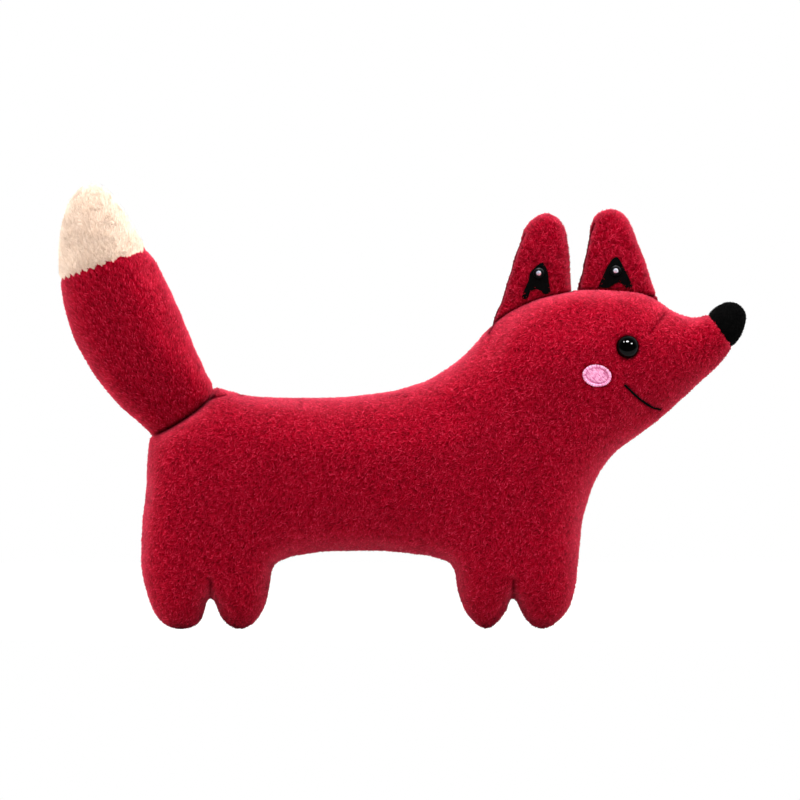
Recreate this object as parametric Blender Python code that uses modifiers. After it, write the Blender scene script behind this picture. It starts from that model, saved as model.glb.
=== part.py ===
# Plush fox: a profile toy of short red pile cloth, stuffed with loose fibre, standing on four paws.
# Metres, +X towards the nose, +Y towards its left side, +Z up, origin on the floor under its middle.
# Each cloth form is a row of oval sections between the toy's two outline seams. The larger form
# keeps its wall where two forms meet, and the smaller one is cut off against it.
import math

import bpy
import bmesh
import numpy as np
from mathutils import Matrix, Vector

# Cloth, thread and clearances
FABRIC = 0.0013          # thickness of the pile cloth's backing and pile pressed flat
GAP = 0.0003             # clearance between pieces that touch
HINGE_GAP = 0.0007       # clearance at a stitched fold, so that the fold can turn
THREAD = 0.0006          # how far embroidery stands out
FELT = 0.0008            # thickness of the ear patches
PAW_FLAT = 0.0005        # how much of each paw's bottom is pressed flat by the floor

# Body and legs
RUMP_X = -0.1436
BODY_LENGTH = 0.2425     # rump to chest
BODY_HEIGHT = 0.086      # belly to back
BODY_DEPTH = 0.074
LEG_LENGTH = 0.042       # floor to belly
LEG_DEPTH = 0.048
HIND_NOTCH_INSET = 0.0385    # rump to the notch between the hind legs
FORE_NOTCH_INSET = 0.0382    # chest to the notch between the fore legs
HIND_BACK_WIDTH = 0.0350
HIND_FRONT_WIDTH = 0.0325
FORE_BACK_WIDTH = 0.0305
FORE_FRONT_WIDTH = 0.0335
LEG_FLARE = 0.0140       # how far a leg spreads where it runs into the belly

# Head and nose
NECK_INSET = 0.0442      # neck root behind the chest
NECK_RISE = 0.0132       # neck root above the middle of the body
HEAD_PITCH = 30.4        # degrees, the line from the neck root to the nose tip
HEAD_LENGTH = 0.1543     # neck root to nose tip
HEAD_HEIGHT = 0.0977
HEAD_DEPTH = 0.070
NOSE_LENGTH = 0.0160     # the black cap, from its seam to the tip

# Ears
EAR_DEPTH = 0.0125
REAR_EAR_LENGTH = 0.0485
FRONT_EAR_LENGTH = 0.0460
REAR_EAR_WIDTH = 0.0495
FRONT_EAR_WIDTH = 0.0440
REAR_EAR_ALONG = 0.0186      # from the neck root, along the head's line, to below the ear's middle
FRONT_EAR_ALONG = 0.0736
PATCH_FOOT = 0.0036      # width of each foot of the ear patch
COLLAR_DIAMETER = 0.0060
COLLAR_HEIGHT = 0.0014
CRYSTAL_DIAMETER = 0.0030

# Tail
TAIL_LENGTH = 0.1385
TAIL_WIDTH = 0.059
TAIL_DEPTH = 0.048
TAIL_BASE_WIDTH = 0.0430
TAIL_PITCH = 112.0       # degrees, the line from its base to its tip
TAIL_SEAT_PITCH = 127.0  # degrees, the way the rump faces where the tail is sewn on
TAIL_SEAT_INSET = 0.050  # the tail's middle line, in from the rump and down from the back
TIP_LENGTH = 0.0440      # the cream end, from its seam to the tip

# Face
EYE_ALONG, EYE_BOW = 0.0886, 0.0152
EYE_DIAMETER = 0.0120
EYE_HEIGHT = 0.0046
SHANK_DIAMETER = 0.0036
SHANK_LENGTH = 0.0120
WASHER_DIAMETER = 0.0140
WASHER_THICKNESS = 0.0014
WASHER_HUB_DIAMETER = 0.0076
WASHER_HUB_HEIGHT = 0.0030
CHEEK_ALONG, CHEEK_BOW = 0.0661, 0.0094
CHEEK_LENGTH = 0.0163
CHEEK_WIDTH = 0.0123
CHEEK_TURN = -8.0        # degrees, its long axis to the floor
MOUTH_START = (0.0760, -0.0031)
MOUTH_BEND = (0.0790, -0.0152)
MOUTH_END = (0.0864, -0.0245)
MOUTH_WIDTH = 0.0012

# Sides of a section: rounded cloth outside, and plainer inside faces and stuffing
BODY_SIDES = 10
LIMB_SIDES = 8
INNER_BODY_SIDES = 8
INNER_LIMB_SIDES = 6
EYE_STEPS = 14
BEAD_STEPS = 10
REACH = 0.2              # longer than any single form, for rays and cutters

COLOURS = {
    "red_plush": ((0.27, 0.006, 0.016), 0.95),
    "cream_plush": ((0.88, 0.70, 0.52), 0.95),
    "black_plush": ((0.010, 0.010, 0.010), 0.95),
    "fibre": ((0.80, 0.80, 0.78), 1.0),
    "black_felt": ((0.008, 0.008, 0.008), 0.9),
    "pink_thread": ((0.87, 0.36, 0.60), 0.45),
    "black_thread": ((0.010, 0.006, 0.006), 0.5),
    "black_plastic": ((0.006, 0.006, 0.006), 0.08),
    "white_plastic": ((0.75, 0.75, 0.73), 0.4),
    "crystal": ((0.85, 0.82, 0.86), 0.05),
}

body_middle_z = LEG_LENGTH + BODY_HEIGHT / 2
chest_x = RUMP_X + BODY_LENGTH
neck = Vector((chest_x - NECK_INSET, 0, body_middle_z + NECK_RISE))


def clear_scene():
    for item in list(bpy.data.objects):
        bpy.data.objects.remove(item, do_unlink=True)


def new_collection(name):
    group = bpy.data.collections.new(name)
    bpy.context.scene.collection.children.link(group)
    return group


def make_materials():
    made = {}
    for name, (colour, roughness) in COLOURS.items():
        material = bpy.data.materials.new(name)
        material.use_nodes = True
        shader = material.node_tree.nodes["Principled BSDF"]
        shader.inputs["Base Color"].default_value = (*colour, 1)
        shader.inputs["Roughness"].default_value = roughness
        shader.inputs["Metallic"].default_value = 0
        made[name] = material
    return made


clear_scene()
parts = new_collection("plush_fox")
cutters = new_collection("cutters")
materials = make_materials()


def add_part(name, mesh, material):
    part = bpy.data.objects.new(name, mesh)
    parts.objects.link(part)
    mesh.materials.append(materials[material])
    mesh.shade_smooth()
    return part


def add_cutter(name, mesh):
    cutter = bpy.data.objects.new(name, mesh)
    cutters.objects.link(cutter)
    cutter.hide_render = True
    cutter.display_type = 'WIRE'
    return cutter


def combine(part, other, operation, solver='EXACT'):
    change = part.modifiers.new(operation.lower() + "_" + other.name, 'BOOLEAN')
    change.operation = operation
    change.object = other
    change.solver = solver


def evaluated(part):
    return part.evaluated_get(bpy.context.evaluated_depsgraph_get())


# Soft forms


class Form:
    # Oval sections, each (along, bow, tilt, half width, half depth), on a line in the XZ plane
    # that starts at origin and rises at pitch degrees. The first and last rows are its two ends.
    def __init__(self, name, origin, pitch, sides, inner_sides, rows):
        self.name = name
        self.origin = Vector(origin)
        self.line = Vector((math.cos(math.radians(pitch)), 0, math.sin(math.radians(pitch))))
        self.across = Vector((-self.line.z, 0, self.line.x))
        self.sides = sides
        self.inner_sides = inner_sides
        self.rows = rows
        self.cutters = {}

    def point(self, along, bow, y=0.0):
        return self.origin + self.line * along + self.across * bow + Vector((0, y, 0))

    def targets(self, rows):
        # Each row as its centre, the half vector to its upper seam, and its half depth
        targets = []
        for along, bow, tilt, half_width, half_depth in rows:
            centre = self.point(along, bow)
            lean = math.radians(tilt)
            half = (self.across * math.cos(lean) + self.line * math.sin(lean)) * half_width
            targets.append((centre.x, centre.z, half.x, half.z, half_depth))
        return np.array(targets)

    def skin(self):
        # The coarse cage whose rounded surface is the cloth's outside
        swell = 3 / (2 + math.cos(math.tau / self.sides))
        return loft(self.name, cage_through(self.targets(self.rows)), self.sides, swell)

    def inside(self, wall):
        # The plain form left inside a wall of that thickness
        return loft(self.name, self.targets(inset(self.rows, wall)), self.inner_sides, 1, True)

    def part(self, name, material):
        part = add_part(name, self.skin(), material)
        round_off(part)
        return part

    def clearance(self, amount):
        # The outside grown by an amount, to cut its neighbours with
        if amount not in self.cutters:
            cutter = add_cutter(f"{self.name}_clear_{round(amount * 1e6)}", self.skin())
            round_off(cutter)
            grow = cutter.modifiers.new("grow", 'DISPLACE')
            grow.strength = amount
            grow.mid_level = 0
            self.cutters[amount] = cutter
        return self.cutters[amount]

    def cavity(self):
        if "cavity" not in self.cutters:
            self.cutters["cavity"] = add_cutter(self.name + "_cavity", self.inside(FABRIC))
        return self.cutters["cavity"]


def loft(name, rows, sides, swell, split=False):
    # Rings of points round the rows, closed to a point at each end; split cuts every
    # four-sided face the same way, so that one plain form lies evenly inside another
    shape = bmesh.new()
    first = shape.verts.new((rows[0][0], 0, rows[0][1]))
    last = shape.verts.new((rows[-1][0], 0, rows[-1][1]))
    rings = []
    for x, z, half_x, half_z, half_depth in rows[1:-1]:
        ring = []
        for i in range(sides):
            angle = math.tau * i / sides
            across, deep = math.cos(angle) * swell, math.sin(angle) * swell
            ring.append(shape.verts.new((x + half_x * across, half_depth * deep,
                                         z + half_z * across)))
        rings.append(ring)
    for i in range(sides):
        j = (i + 1) % sides
        shape.faces.new((first, rings[0][j], rings[0][i]))
        shape.faces.new((last, rings[-1][i], rings[-1][j]))
        for low, high in zip(rings, rings[1:]):
            shape.faces.new((low[i], low[j], high[j], high[i]))
    bmesh.ops.recalc_face_normals(shape, faces=shape.faces)
    if split:
        bmesh.ops.triangulate(shape, faces=shape.faces, quad_method='FIXED')
    mesh = bpy.data.meshes.new(name)
    shape.to_mesh(mesh)
    shape.free()
    return mesh


def cage_through(targets):
    # Control rows for a subdivided surface that passes through the given rows
    cage = targets.copy()
    for _ in range(30):
        reached = cage.copy()
        reached[1:-1] = (cage[:-2] + 4 * cage[1:-1] + cage[2:]) / 6
        reached[0] = 0.7 * cage[0] + 0.3 * cage[1]
        reached[-1] = 0.7 * cage[-1] + 0.3 * cage[-2]
        cage += targets - reached
        cage[:, 4] = np.maximum(cage[:, 4], 0.4 * targets[:, 4])
        cage[0, 2:] = 0
        cage[-1, 2:] = 0
    return cage


def round_off(part):
    # A form and the cutter grown from it are split the same way, so that they lie evenly apart
    soft = part.modifiers.new("round", 'SUBSURF')
    soft.levels = 1
    soft.render_levels = 1
    split = part.modifiers.new("split", 'TRIANGULATE')
    split.quad_method = 'FIXED'


def scaled(rows, length, width, depth):
    return [(along * length, bow * length, tilt, half * width, deep * depth)
            for along, bow, tilt, half, deep in rows]


def inset(rows, wall):
    # The same rows drawn in by a wall, without those too thin to hold anything
    rings = [row for row in rows[1:-1] if row[4] > wall + GAP]
    pinched = rings[0] is not rows[1]
    low = rings[0][0] - rings[0][4] if pinched else rows[0][0] + wall
    high = rows[-1][0] - wall
    first_bow = rings[0][1] if pinched else rows[0][1]
    inner = [(min(max(along, low + GAP / 4), high - GAP / 4), bow, tilt, half - wall, deep - wall)
             for along, bow, tilt, half, deep in rings]
    return [(low, first_bow, 0, 0, 0), *inner, (high, rows[-1][1], 0, 0, 0)]


torso = Form("torso", (RUMP_X, 0, body_middle_z), 0, BODY_SIDES, INNER_BODY_SIDES, [
    (along * BODY_LENGTH, bow * BODY_HEIGHT, tilt, half * BODY_HEIGHT, deep * BODY_DEPTH)
    for along, bow, tilt, half, deep in (
        (0.005, -0.160, 0, 0, 0), (0.010, -0.155, 6, 0.350, 0.080), (0.038, -0.124, 6, 0.410, 0.200),
        (0.098, -0.085, 4, 0.446, 0.300), (0.160, -0.008, 2, 0.506, 0.380),
        (0.235, 0.001, 0, 0.514, 0.435), (0.357, -0.004, 0, 0.499, 0.480),
        (0.500, 0.007, 0, 0.503, 0.500), (0.640, 0.034, -3, 0.546, 0.500),
        (0.760, 0.030, -4, 0.560, 0.490), (0.850, -0.010, -3, 0.520, 0.440),
        (0.925, -0.075, 0, 0.450, 0.340), (0.975, -0.165, 0, 0.330, 0.200),
        (0.992, -0.225, 0, 0.220, 0.090), (0.998, -0.240, 0, 0, 0))])

head = Form("head", neck, HEAD_PITCH, BODY_SIDES, INNER_BODY_SIDES, scaled([
    (-0.205, -0.080, 0, 0, 0), (-0.105, -0.060, -15, 0.560, 0.380),
    (0.028, 0.006, -20, 0.586, 0.480), (0.125, 0.045, -18, 0.520, 0.500),
    (0.240, 0.088, -14, 0.506, 0.498), (0.394, 0.112, -12, 0.500, 0.475),
    (0.542, 0.093, -8, 0.435, 0.405), (0.666, 0.058, -5, 0.341, 0.315),
    (0.761, 0.020, -4, 0.250, 0.236), (0.832, -0.018, -6, 0.163, 0.168),
    (0.898, -0.022, -8, 0.115, 0.138), (0.936, -0.011, -7, 0.111, 0.128),
    (0.972, 0.002, -8, 0.082, 0.096), (0.995, 0.007, -8, 0.036, 0.040),
    (1.004, 0.007, 0, 0, 0)], HEAD_LENGTH, HEAD_HEIGHT, HEAD_DEPTH))


def leg_form(name, notch_x, width, side):
    # side is -1 behind the notch and 1 in front of it, and the flare is on the belly's side
    belly = 1 if notch_x < RUMP_X + BODY_LENGTH / 2 else -1
    flare = LEG_FLARE / 2 if side == belly else 0
    half = width / 2
    deep = LEG_DEPTH / 2
    rows = [(-PAW_FLAT, 0, 0, 0, 0), (-PAW_FLAT * 0.7, 0, 0, 0.30 * half, 0.32 * deep),
            (0.085 * LEG_LENGTH, 0, 0, 0.53 * half, 0.56 * deep),
            (0.260 * LEG_LENGTH, 0, 0, 0.81 * half, 0.76 * deep),
            (0.520 * LEG_LENGTH, 0, 0, 1.01 * half, 0.90 * deep),
            (0.780 * LEG_LENGTH, -0.15 * belly * flare, 0, 1.08 * half + 0.15 * flare, 0.98 * deep),
            (0.980 * LEG_LENGTH, -belly * flare, 0, 1.17 * half + flare, 1.02 * deep),
            (1.350 * LEG_LENGTH, -0.8 * belly * flare, 0, 0.95 * half + 0.8 * flare, deep),
            (1.700 * LEG_LENGTH, 0, 0, 0, 0)]
    return Form(name, (notch_x + side * half, 0, 0), 90, LIMB_SIDES, INNER_LIMB_SIDES, rows)


hind_notch_x = RUMP_X + HIND_NOTCH_INSET
fore_notch_x = chest_x - FORE_NOTCH_INSET
legs = [(leg_form("hind_leg_back", hind_notch_x, HIND_BACK_WIDTH, -1), hind_notch_x, -1),
        (leg_form("hind_leg_front", hind_notch_x, HIND_FRONT_WIDTH, 1), hind_notch_x, 1),
        (leg_form("fore_leg_back", fore_notch_x, FORE_BACK_WIDTH, -1), fore_notch_x, -1),
        (leg_form("fore_leg_front", fore_notch_x, FORE_FRONT_WIDTH, 1), fore_notch_x, 1)]


# Plain cutters and outlines


def box_cutter(name, low, high):
    bpy.ops.mesh.primitive_cube_add(size=1)
    box = bpy.context.object
    mesh = box.data
    bpy.data.objects.remove(box)
    low, high = Vector(low), Vector(high)
    mesh.transform(Matrix.Translation((low + high) / 2) @ Matrix.Diagonal((*(high - low), 1)))
    return add_cutter(name, mesh)


def beyond(name, point, direction):
    # A block that holds everything past a plane square to direction
    block = box_cutter(name, (-REACH, -REACH, 0), (REACH, REACH, REACH))
    block.data.transform(facing(direction))
    block.data.transform(Matrix.Translation(point))
    return block


def facing(direction):
    return Vector(direction).to_track_quat('Z', 'Y').to_matrix().to_4x4()


def prism(name, points, side):
    # A flat outline in the XZ plane, carried outwards to one side of the toy
    outline = bpy.data.curves.new(name, 'CURVE')
    outline.dimensions = '2D'
    outline.fill_mode = 'BOTH'
    outline.extrude = REACH / 4
    spline = outline.splines.new('POLY')
    spline.points.add(len(points) - 1)
    for vertex, (x, z) in zip(spline.points, points):
        vertex.co = (x, z, 0, 1)
    spline.use_cyclic_u = True
    drawn = bpy.data.objects.new(name, outline)
    cutters.objects.link(drawn)
    mesh = bpy.data.meshes.new_from_object(evaluated(drawn))
    bpy.data.objects.remove(drawn)
    mesh.transform(Matrix.Rotation(math.radians(90), 4, 'X'))
    mesh.transform(Matrix.Translation((0, side * (outline.extrude + GAP), 0)))
    shape = bmesh.new()
    shape.from_mesh(mesh)
    bmesh.ops.remove_doubles(shape, verts=shape.verts, dist=0.00001)
    bmesh.ops.recalc_face_normals(shape, faces=shape.faces)
    shape.to_mesh(mesh)
    shape.free()
    return mesh


def turned(name, profile, steps, material):
    # A profile of (radius, height) points turned about its own Z axis, outer side first
    mesh = bpy.data.meshes.new(name)
    count = len(profile)
    closed = profile[0][0] > 0
    edges = [(i, (i + 1) % count) for i in range(count if closed else count - 1)]
    mesh.from_pydata([(radius, 0, height) for radius, height in profile], edges, [])
    part = add_part(name, mesh, material)
    turn = part.modifiers.new("turn", 'SCREW')
    turn.steps = steps
    turn.render_steps = steps
    turn.use_merge_vertices = True
    turn.merge_threshold = 0.00001
    return part


def surface(form_object, origin, direction):
    # Where a ray first meets a form, and the way the form faces there
    hit, place, normal, _ = evaluated(form_object).ray_cast(origin, direction)
    return place, normal


# Covers of the body, head and legs, round one hollow that the stuffing fills

hollow = torso.cavity()
combine(hollow, head.cavity(), 'UNION')
body_stuffing = add_part("body_stuffing", torso.inside(FABRIC + GAP), "fibre")
head_fill = add_cutter("head_fill", head.inside(FABRIC + GAP))
combine(body_stuffing, head_fill, 'UNION')
# The exact solver leaves these unions open where a pair of legs crosses
for leg, notch_x, side in legs:
    combine(hollow, leg.cavity(), 'UNION', 'MANIFOLD')
    leg_fill = add_cutter(leg.name + "_fill", leg.inside(FABRIC + GAP))
    combine(body_stuffing, leg_fill, 'UNION', 'MANIFOLD')

torso_cover = torso.part("torso_cover", "red_plush")
combine(torso_cover, hollow, 'DIFFERENCE')
head_cover = head.part("head_cover", "red_plush")
combine(head_cover, torso.clearance(GAP), 'DIFFERENCE')

floor = box_cutter("floor", (-REACH, -REACH, -REACH), (REACH, REACH, 0))
for leg, notch_x, side in legs:
    cover = leg.part(leg.name + "_cover", "red_plush")
    edge = notch_x + side * GAP / 2
    far = notch_x - side * REACH
    low_x, high_x = min(edge, far), max(edge, far)
    neighbour = box_cutter(leg.name + "_neighbour", (low_x, -REACH, -REACH), (high_x, REACH, REACH))
    combine(cover, floor, 'DIFFERENCE')
    combine(cover, neighbour, 'DIFFERENCE')
    combine(cover, torso.clearance(GAP), 'DIFFERENCE')
    combine(cover, head.clearance(GAP), 'DIFFERENCE')
    combine(cover, hollow, 'DIFFERENCE')

# Nose cap: the end of the head's form, past its seam

nose_seam = head.point(HEAD_LENGTH - NOSE_LENGTH, 0)
seam_lean = math.radians(-8)
nose_way = head.line * math.cos(seam_lean) - head.across * math.sin(seam_lean)
nose_cover = head.part("nose_cover", "black_plush")
combine(nose_cover, beyond("snout", nose_seam + nose_way * GAP / 2, -nose_way), 'DIFFERENCE')
combine(nose_cover, hollow, 'DIFFERENCE')
combine(head_cover, beyond("nose", nose_seam - nose_way * GAP / 2, nose_way), 'DIFFERENCE')
combine(head_cover, hollow, 'DIFFERENCE')


# Tail and ears: stuffed pockets stitched flat along a seam, where they fold


def fold(parent, middle, way, width):
    # The straight line that a sewn edge folds about, just clear of the form that carries it
    across = Vector((-way.z, 0, way.x))
    carrier = parent.clearance(HINGE_GAP)
    ends = [surface(carrier, middle + across * s * width / 2 + way * REACH, -way)[0]
            for s in (-1, 1)]
    axis = (ends[1] - ends[0]).normalized()
    crown = surface(carrier, middle + way * REACH, -way)[0]
    return crown, axis


def hinge_empty(name, place, axis):
    empty = bpy.data.objects.new(name, None)
    empty.empty_display_size = 0.02
    empty.matrix_world = Matrix.Translation(place) @ facing(axis)
    parts.objects.link(empty)
    bpy.context.view_layer.update()
    print(name, "at", [round(v, 5) for v in place], "axis", [round(v, 5) for v in axis])
    return empty


def carry(empty, *pieces):
    for piece in pieces:
        piece.parent = empty
        piece.matrix_parent_inverse = empty.matrix_world.inverted()


rump_corner = Vector((RUMP_X + TAIL_SEAT_INSET, 0, LEG_LENGTH + BODY_HEIGHT - TAIL_SEAT_INSET))
seat_angle = math.radians(TAIL_SEAT_PITCH)
seat_way = Vector((math.cos(seat_angle), 0, math.sin(seat_angle)))
tail_crown, tail_axis = fold(torso, rump_corner, seat_way, TAIL_BASE_WIDTH)
base_half = TAIL_BASE_WIDTH / 2
tail_rows = [(-0.140 * TAIL_LENGTH, -0.03 * TAIL_LENGTH, 0, 0, 0),
             (-0.080 * TAIL_LENGTH, -0.02 * TAIL_LENGTH, -15, base_half, FABRIC),
             (0.012 * TAIL_LENGTH, -0.008 * TAIL_LENGTH, -15, base_half, FABRIC)]
tail_rows += scaled([
    (0.056, -0.001, -12, 0.385, 0.110), (0.112, 0.012, -8, 0.413, 0.220), (0.204, 0.037, -1, 0.460, 0.354),
    (0.300, 0.050, 2, 0.491, 0.438), (0.389, 0.059, 4, 0.503, 0.490),
    (0.524, 0.065, 3, 0.496, 0.497), (0.679, 0.064, 2, 0.431, 0.448),
    (0.777, 0.052, 5, 0.376, 0.390), (0.890, 0.026, 12, 0.279, 0.300),
    (0.972, -0.007, 17, 0.154, 0.180), (1.003, -0.020, 0, 0, 0)],
    TAIL_LENGTH, TAIL_WIDTH, TAIL_DEPTH)
tail = Form("tail", tail_crown, TAIL_PITCH, LIMB_SIDES, INNER_LIMB_SIDES, tail_rows)
tip_seam = tail.point(TAIL_LENGTH - TIP_LENGTH, 0)

tail_cover = tail.part("tail_cover", "red_plush")
combine(tail_cover, torso.clearance(HINGE_GAP), 'DIFFERENCE')
combine(tail_cover, beyond("past_tip_seam", tip_seam - tail.line * GAP / 2, tail.line), 'DIFFERENCE')
combine(tail_cover, tail.cavity(), 'DIFFERENCE')
tail_tip_cover = tail.part("tail_tip_cover", "cream_plush")
combine(tail_tip_cover, beyond("before_tip_seam", tip_seam + tail.line * GAP / 2, -tail.line),
        'DIFFERENCE')
combine(tail_tip_cover, tail.cavity(), 'DIFFERENCE')
tail_stuffing = add_part("tail_stuffing", tail.inside(FABRIC + GAP), "fibre")
tail_hinge = hinge_empty("tail_hinge", tail_crown, tail_axis)
carry(tail_hinge, tail_cover, tail_tip_cover, tail_stuffing)


def patch_outline(ear, top, left_foot, right_foot, notch):
    # A narrow triangle with a notch in its lower edge, in the ear's own directions
    (left_low, left), (right_low, right) = left_foot, right_foot
    notch_low, notch_mid = notch
    foot = PATCH_FOOT
    marks = [(top, notch_mid + foot * 0.35), (left_low + foot * 0.4, left + foot * 0.5),
             (left_low, left + foot * 0.1), (left_low + foot * 0.3, left - foot * 0.5),
             (notch_low - foot * 0.4, notch_mid + foot * 0.75), (notch_low, notch_mid),
             (notch_low - foot * 0.4, notch_mid - foot * 0.75),
             (right_low + foot * 0.3, right + foot * 0.5), (right_low, right - foot * 0.1),
             (right_low + foot * 0.4, right - foot * 0.5), (top, notch_mid - foot * 0.1)]
    places = [ear.point(along, across) for along, across in marks]
    return [(place.x, place.z) for place in places]


def bead(name, ear, along, across, side):
    # A small clear crystal in a round black setting, sewn on the patch
    lift = ear.clearance(GAP + FELT)
    start = ear.point(along, across, side * REACH)
    place, normal = surface(lift, start, Vector((0, -side, 0)))
    wide = COLLAR_DIAMETER / 2
    small = CRYSTAL_DIAMETER / 2
    high = COLLAR_HEIGHT
    floor_high = high * 0.35
    seat = small + GAP
    collar = turned(name + "_setting", [
        (0, floor_high), (seat, floor_high), (seat, high * 0.8), ((seat + wide) / 2, high),
        (wide, high * 0.5), (wide, 0), (0, 0)], BEAD_STEPS, "black_plastic")
    crystal = turned(name + "_crystal", [
        (0, high * 1.5), (small * 0.55, high * 1.42), (small * 0.9, high * 1.1),
        (small, floor_high + GAP), (0, floor_high + GAP)], BEAD_STEPS, "crystal")
    for piece in (collar, crystal):
        piece.matrix_world = Matrix.Translation(place + normal * GAP) @ facing(normal)
    return collar, crystal


def make_ear(name, along, length, width, lean, fullness, shift, patch, bead_at):
    middle = head.point(along, 0)
    up = Vector((0, 0, 1))
    seat_point = surface(head.clearance(HINGE_GAP), middle + up * REACH, -up)[0]
    _, axis = fold(head, seat_point, up, width * 0.9)
    way = Vector((-axis.z, 0, axis.x)) if axis.x > 0 else Vector((axis.z, 0, -axis.x))
    crown, axis = fold(head, seat_point, way, width)
    pitch = math.degrees(math.atan2(way.z, way.x)) + lean
    half = width / 2
    rows = [(-0.16 * length, 0, lean, 0, 0), (-0.09 * length, 0, lean, half, FABRIC),
            (0, 0, lean, half, FABRIC)]
    for share, half_share, deep_share in ((0.15, 0.459, 0.30), (0.35, 0.397, 0.46),
                                          (0.565, 0.329, 0.50), (0.77, 0.262, 0.42),
                                          (0.925, 0.172, 0.28)):
        rows.append((share * length, shift, lean * (1 - 0.75 * share),
                     half_share * width * fullness, deep_share * EAR_DEPTH))
    rows.append((length, shift, 0, 0, 0))
    ear = Form(name, crown, pitch, LIMB_SIDES, INNER_LIMB_SIDES, rows)
    wadding = add_part(name + "_wadding", ear.inside(FABRIC + GAP), "fibre")
    pieces = [wadding]
    for word, side in (("right", -1), ("left", 1)):
        panel = ear.part(f"{name}_panel_{word}", "red_plush")
        panel_edge = crown + Vector((0, side * GAP / 2, 0))
        other_side = beyond(f"{name}_beside_{word}", panel_edge, (0, -side, 0))
        # The exact solver can lose a panel cut this close to the plane of its points
        for cut in (head.clearance(HINGE_GAP), other_side, ear.cavity()):
            combine(panel, cut, 'DIFFERENCE', 'MANIFOLD')
        outline = prism(f"{name}_patch_{word}", patch_outline(ear, *patch), side)
        felt = add_part(f"{name}_patch_{word}", outline, "black_felt")
        combine(felt, ear.clearance(GAP + FELT), 'INTERSECT')
        combine(felt, ear.clearance(GAP), 'DIFFERENCE')
        pieces += [panel, felt, *bead(f"{name}_bead_{word}", ear, *bead_at, side)]
    carry(hinge_empty(name + "_hinge", crown, axis), *pieces)


make_ear("ear_rear", REAR_EAR_ALONG, REAR_EAR_LENGTH, REAR_EAR_WIDTH, -33, 0.93, -0.0010,
         (0.0208, (-0.0002, 0.0041), (0.0047, -0.0078), (0.0060, -0.0019)), (0.0149, -0.0011))
make_ear("ear_front", FRONT_EAR_ALONG, FRONT_EAR_LENGTH, FRONT_EAR_WIDTH, 11, 1.0, 0.0007,
         (0.0179, (0.0019, 0.0090), (0.0006, -0.0075), (0.0040, -0.0010)), (0.0107, 0.0))


# Face: safety eyes with their washers, embroidered cheeks and mouth


def eye_profile():
    half = EYE_DIAMETER / 2
    rim = EYE_HEIGHT * 0.16
    dome = [(half * math.sin(math.radians(turn)),
             rim + (EYE_HEIGHT - rim) * math.cos(math.radians(turn))) for turn in range(0, 91, 18)]
    shank = SHANK_DIAMETER / 2
    teeth = []
    step = SHANK_LENGTH / 6
    for tooth in range(3, 6):
        teeth += [(shank, -tooth * step), (shank * 0.82, -(tooth + 0.4) * step)]
    return [*dome, (half * 0.96, 0), (shank, 0), *teeth, (shank * 0.7, -SHANK_LENGTH),
            (0, -SHANK_LENGTH)]


def washer_profile():
    bore = SHANK_DIAMETER / 2 + GAP
    hub = WASHER_HUB_DIAMETER / 2
    wide = WASHER_DIAMETER / 2
    thick = WASHER_THICKNESS
    return [(bore, 0), (wide * 0.97, 0), (wide, -thick * 0.3), (wide, -thick),
            (hub, -thick), (hub * 0.9, -WASHER_HUB_HEIGHT), (bore, -WASHER_HUB_HEIGHT)]


def round_cutter(name, radius, low, high, frame):
    bpy.ops.mesh.primitive_cylinder_add(vertices=EYE_STEPS, radius=radius, depth=high - low)
    drum = bpy.context.object
    mesh = drum.data
    bpy.data.objects.remove(drum)
    mesh.transform(frame @ Matrix.Translation((0, 0, (low + high) / 2)))
    return add_cutter(name, mesh)


def rim_depth(frame, radius, inner):
    # How far below the eye's seat the cloth's inner face lies at the deepest point of the rim
    depths = []
    into = frame.to_3x3() @ Vector((0, 0, -1))
    for step in range(EYE_STEPS):
        angle = math.tau * step / EYE_STEPS
        start = frame @ Vector((radius * math.cos(angle), radius * math.sin(angle), 0.01))
        place, _ = surface(inner, start, into)
        depths.append((place - start).length - 0.01)
    return max(depths)


def ribbon(points, width):
    # The outline of a line of stitching: one side out, the other side back
    left, right = [], []
    for i, place in enumerate(points):
        run = points[min(i + 1, len(points) - 1)] - points[max(i - 1, 0)]
        normal = Vector((-run.z, 0, run.x)).normalized() * width / 2
        left.append(place + normal)
        right.append(place - normal)
    return [(place.x, place.z) for place in left + right[::-1]]


def mouth_points(steps=8):
    start, bend, end = (head.point(*mark) for mark in (MOUTH_START, MOUTH_BEND, MOUTH_END))
    shares = [i / steps for i in range(steps + 1)]
    return [start * (1 - t) ** 2 + bend * 2 * t * (1 - t) + end * t ** 2 for t in shares]


def cheek_points(steps=24):
    centre = head.point(CHEEK_ALONG, CHEEK_BOW)
    turn = math.radians(CHEEK_TURN)
    points = []
    for i in range(steps):
        angle = math.tau * i / steps
        u, v = math.cos(angle) * CHEEK_LENGTH / 2, math.sin(angle) * CHEEK_WIDTH / 2
        points.append((centre.x + u * math.cos(turn) - v * math.sin(turn),
                       centre.z + u * math.sin(turn) + v * math.cos(turn)))
    return points


def embroider(name, points, side, material):
    thread = add_part(name, prism(name, points, side), material)
    combine(thread, head.clearance(GAP + THREAD), 'INTERSECT')
    combine(thread, head.clearance(GAP), 'DIFFERENCE')


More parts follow.
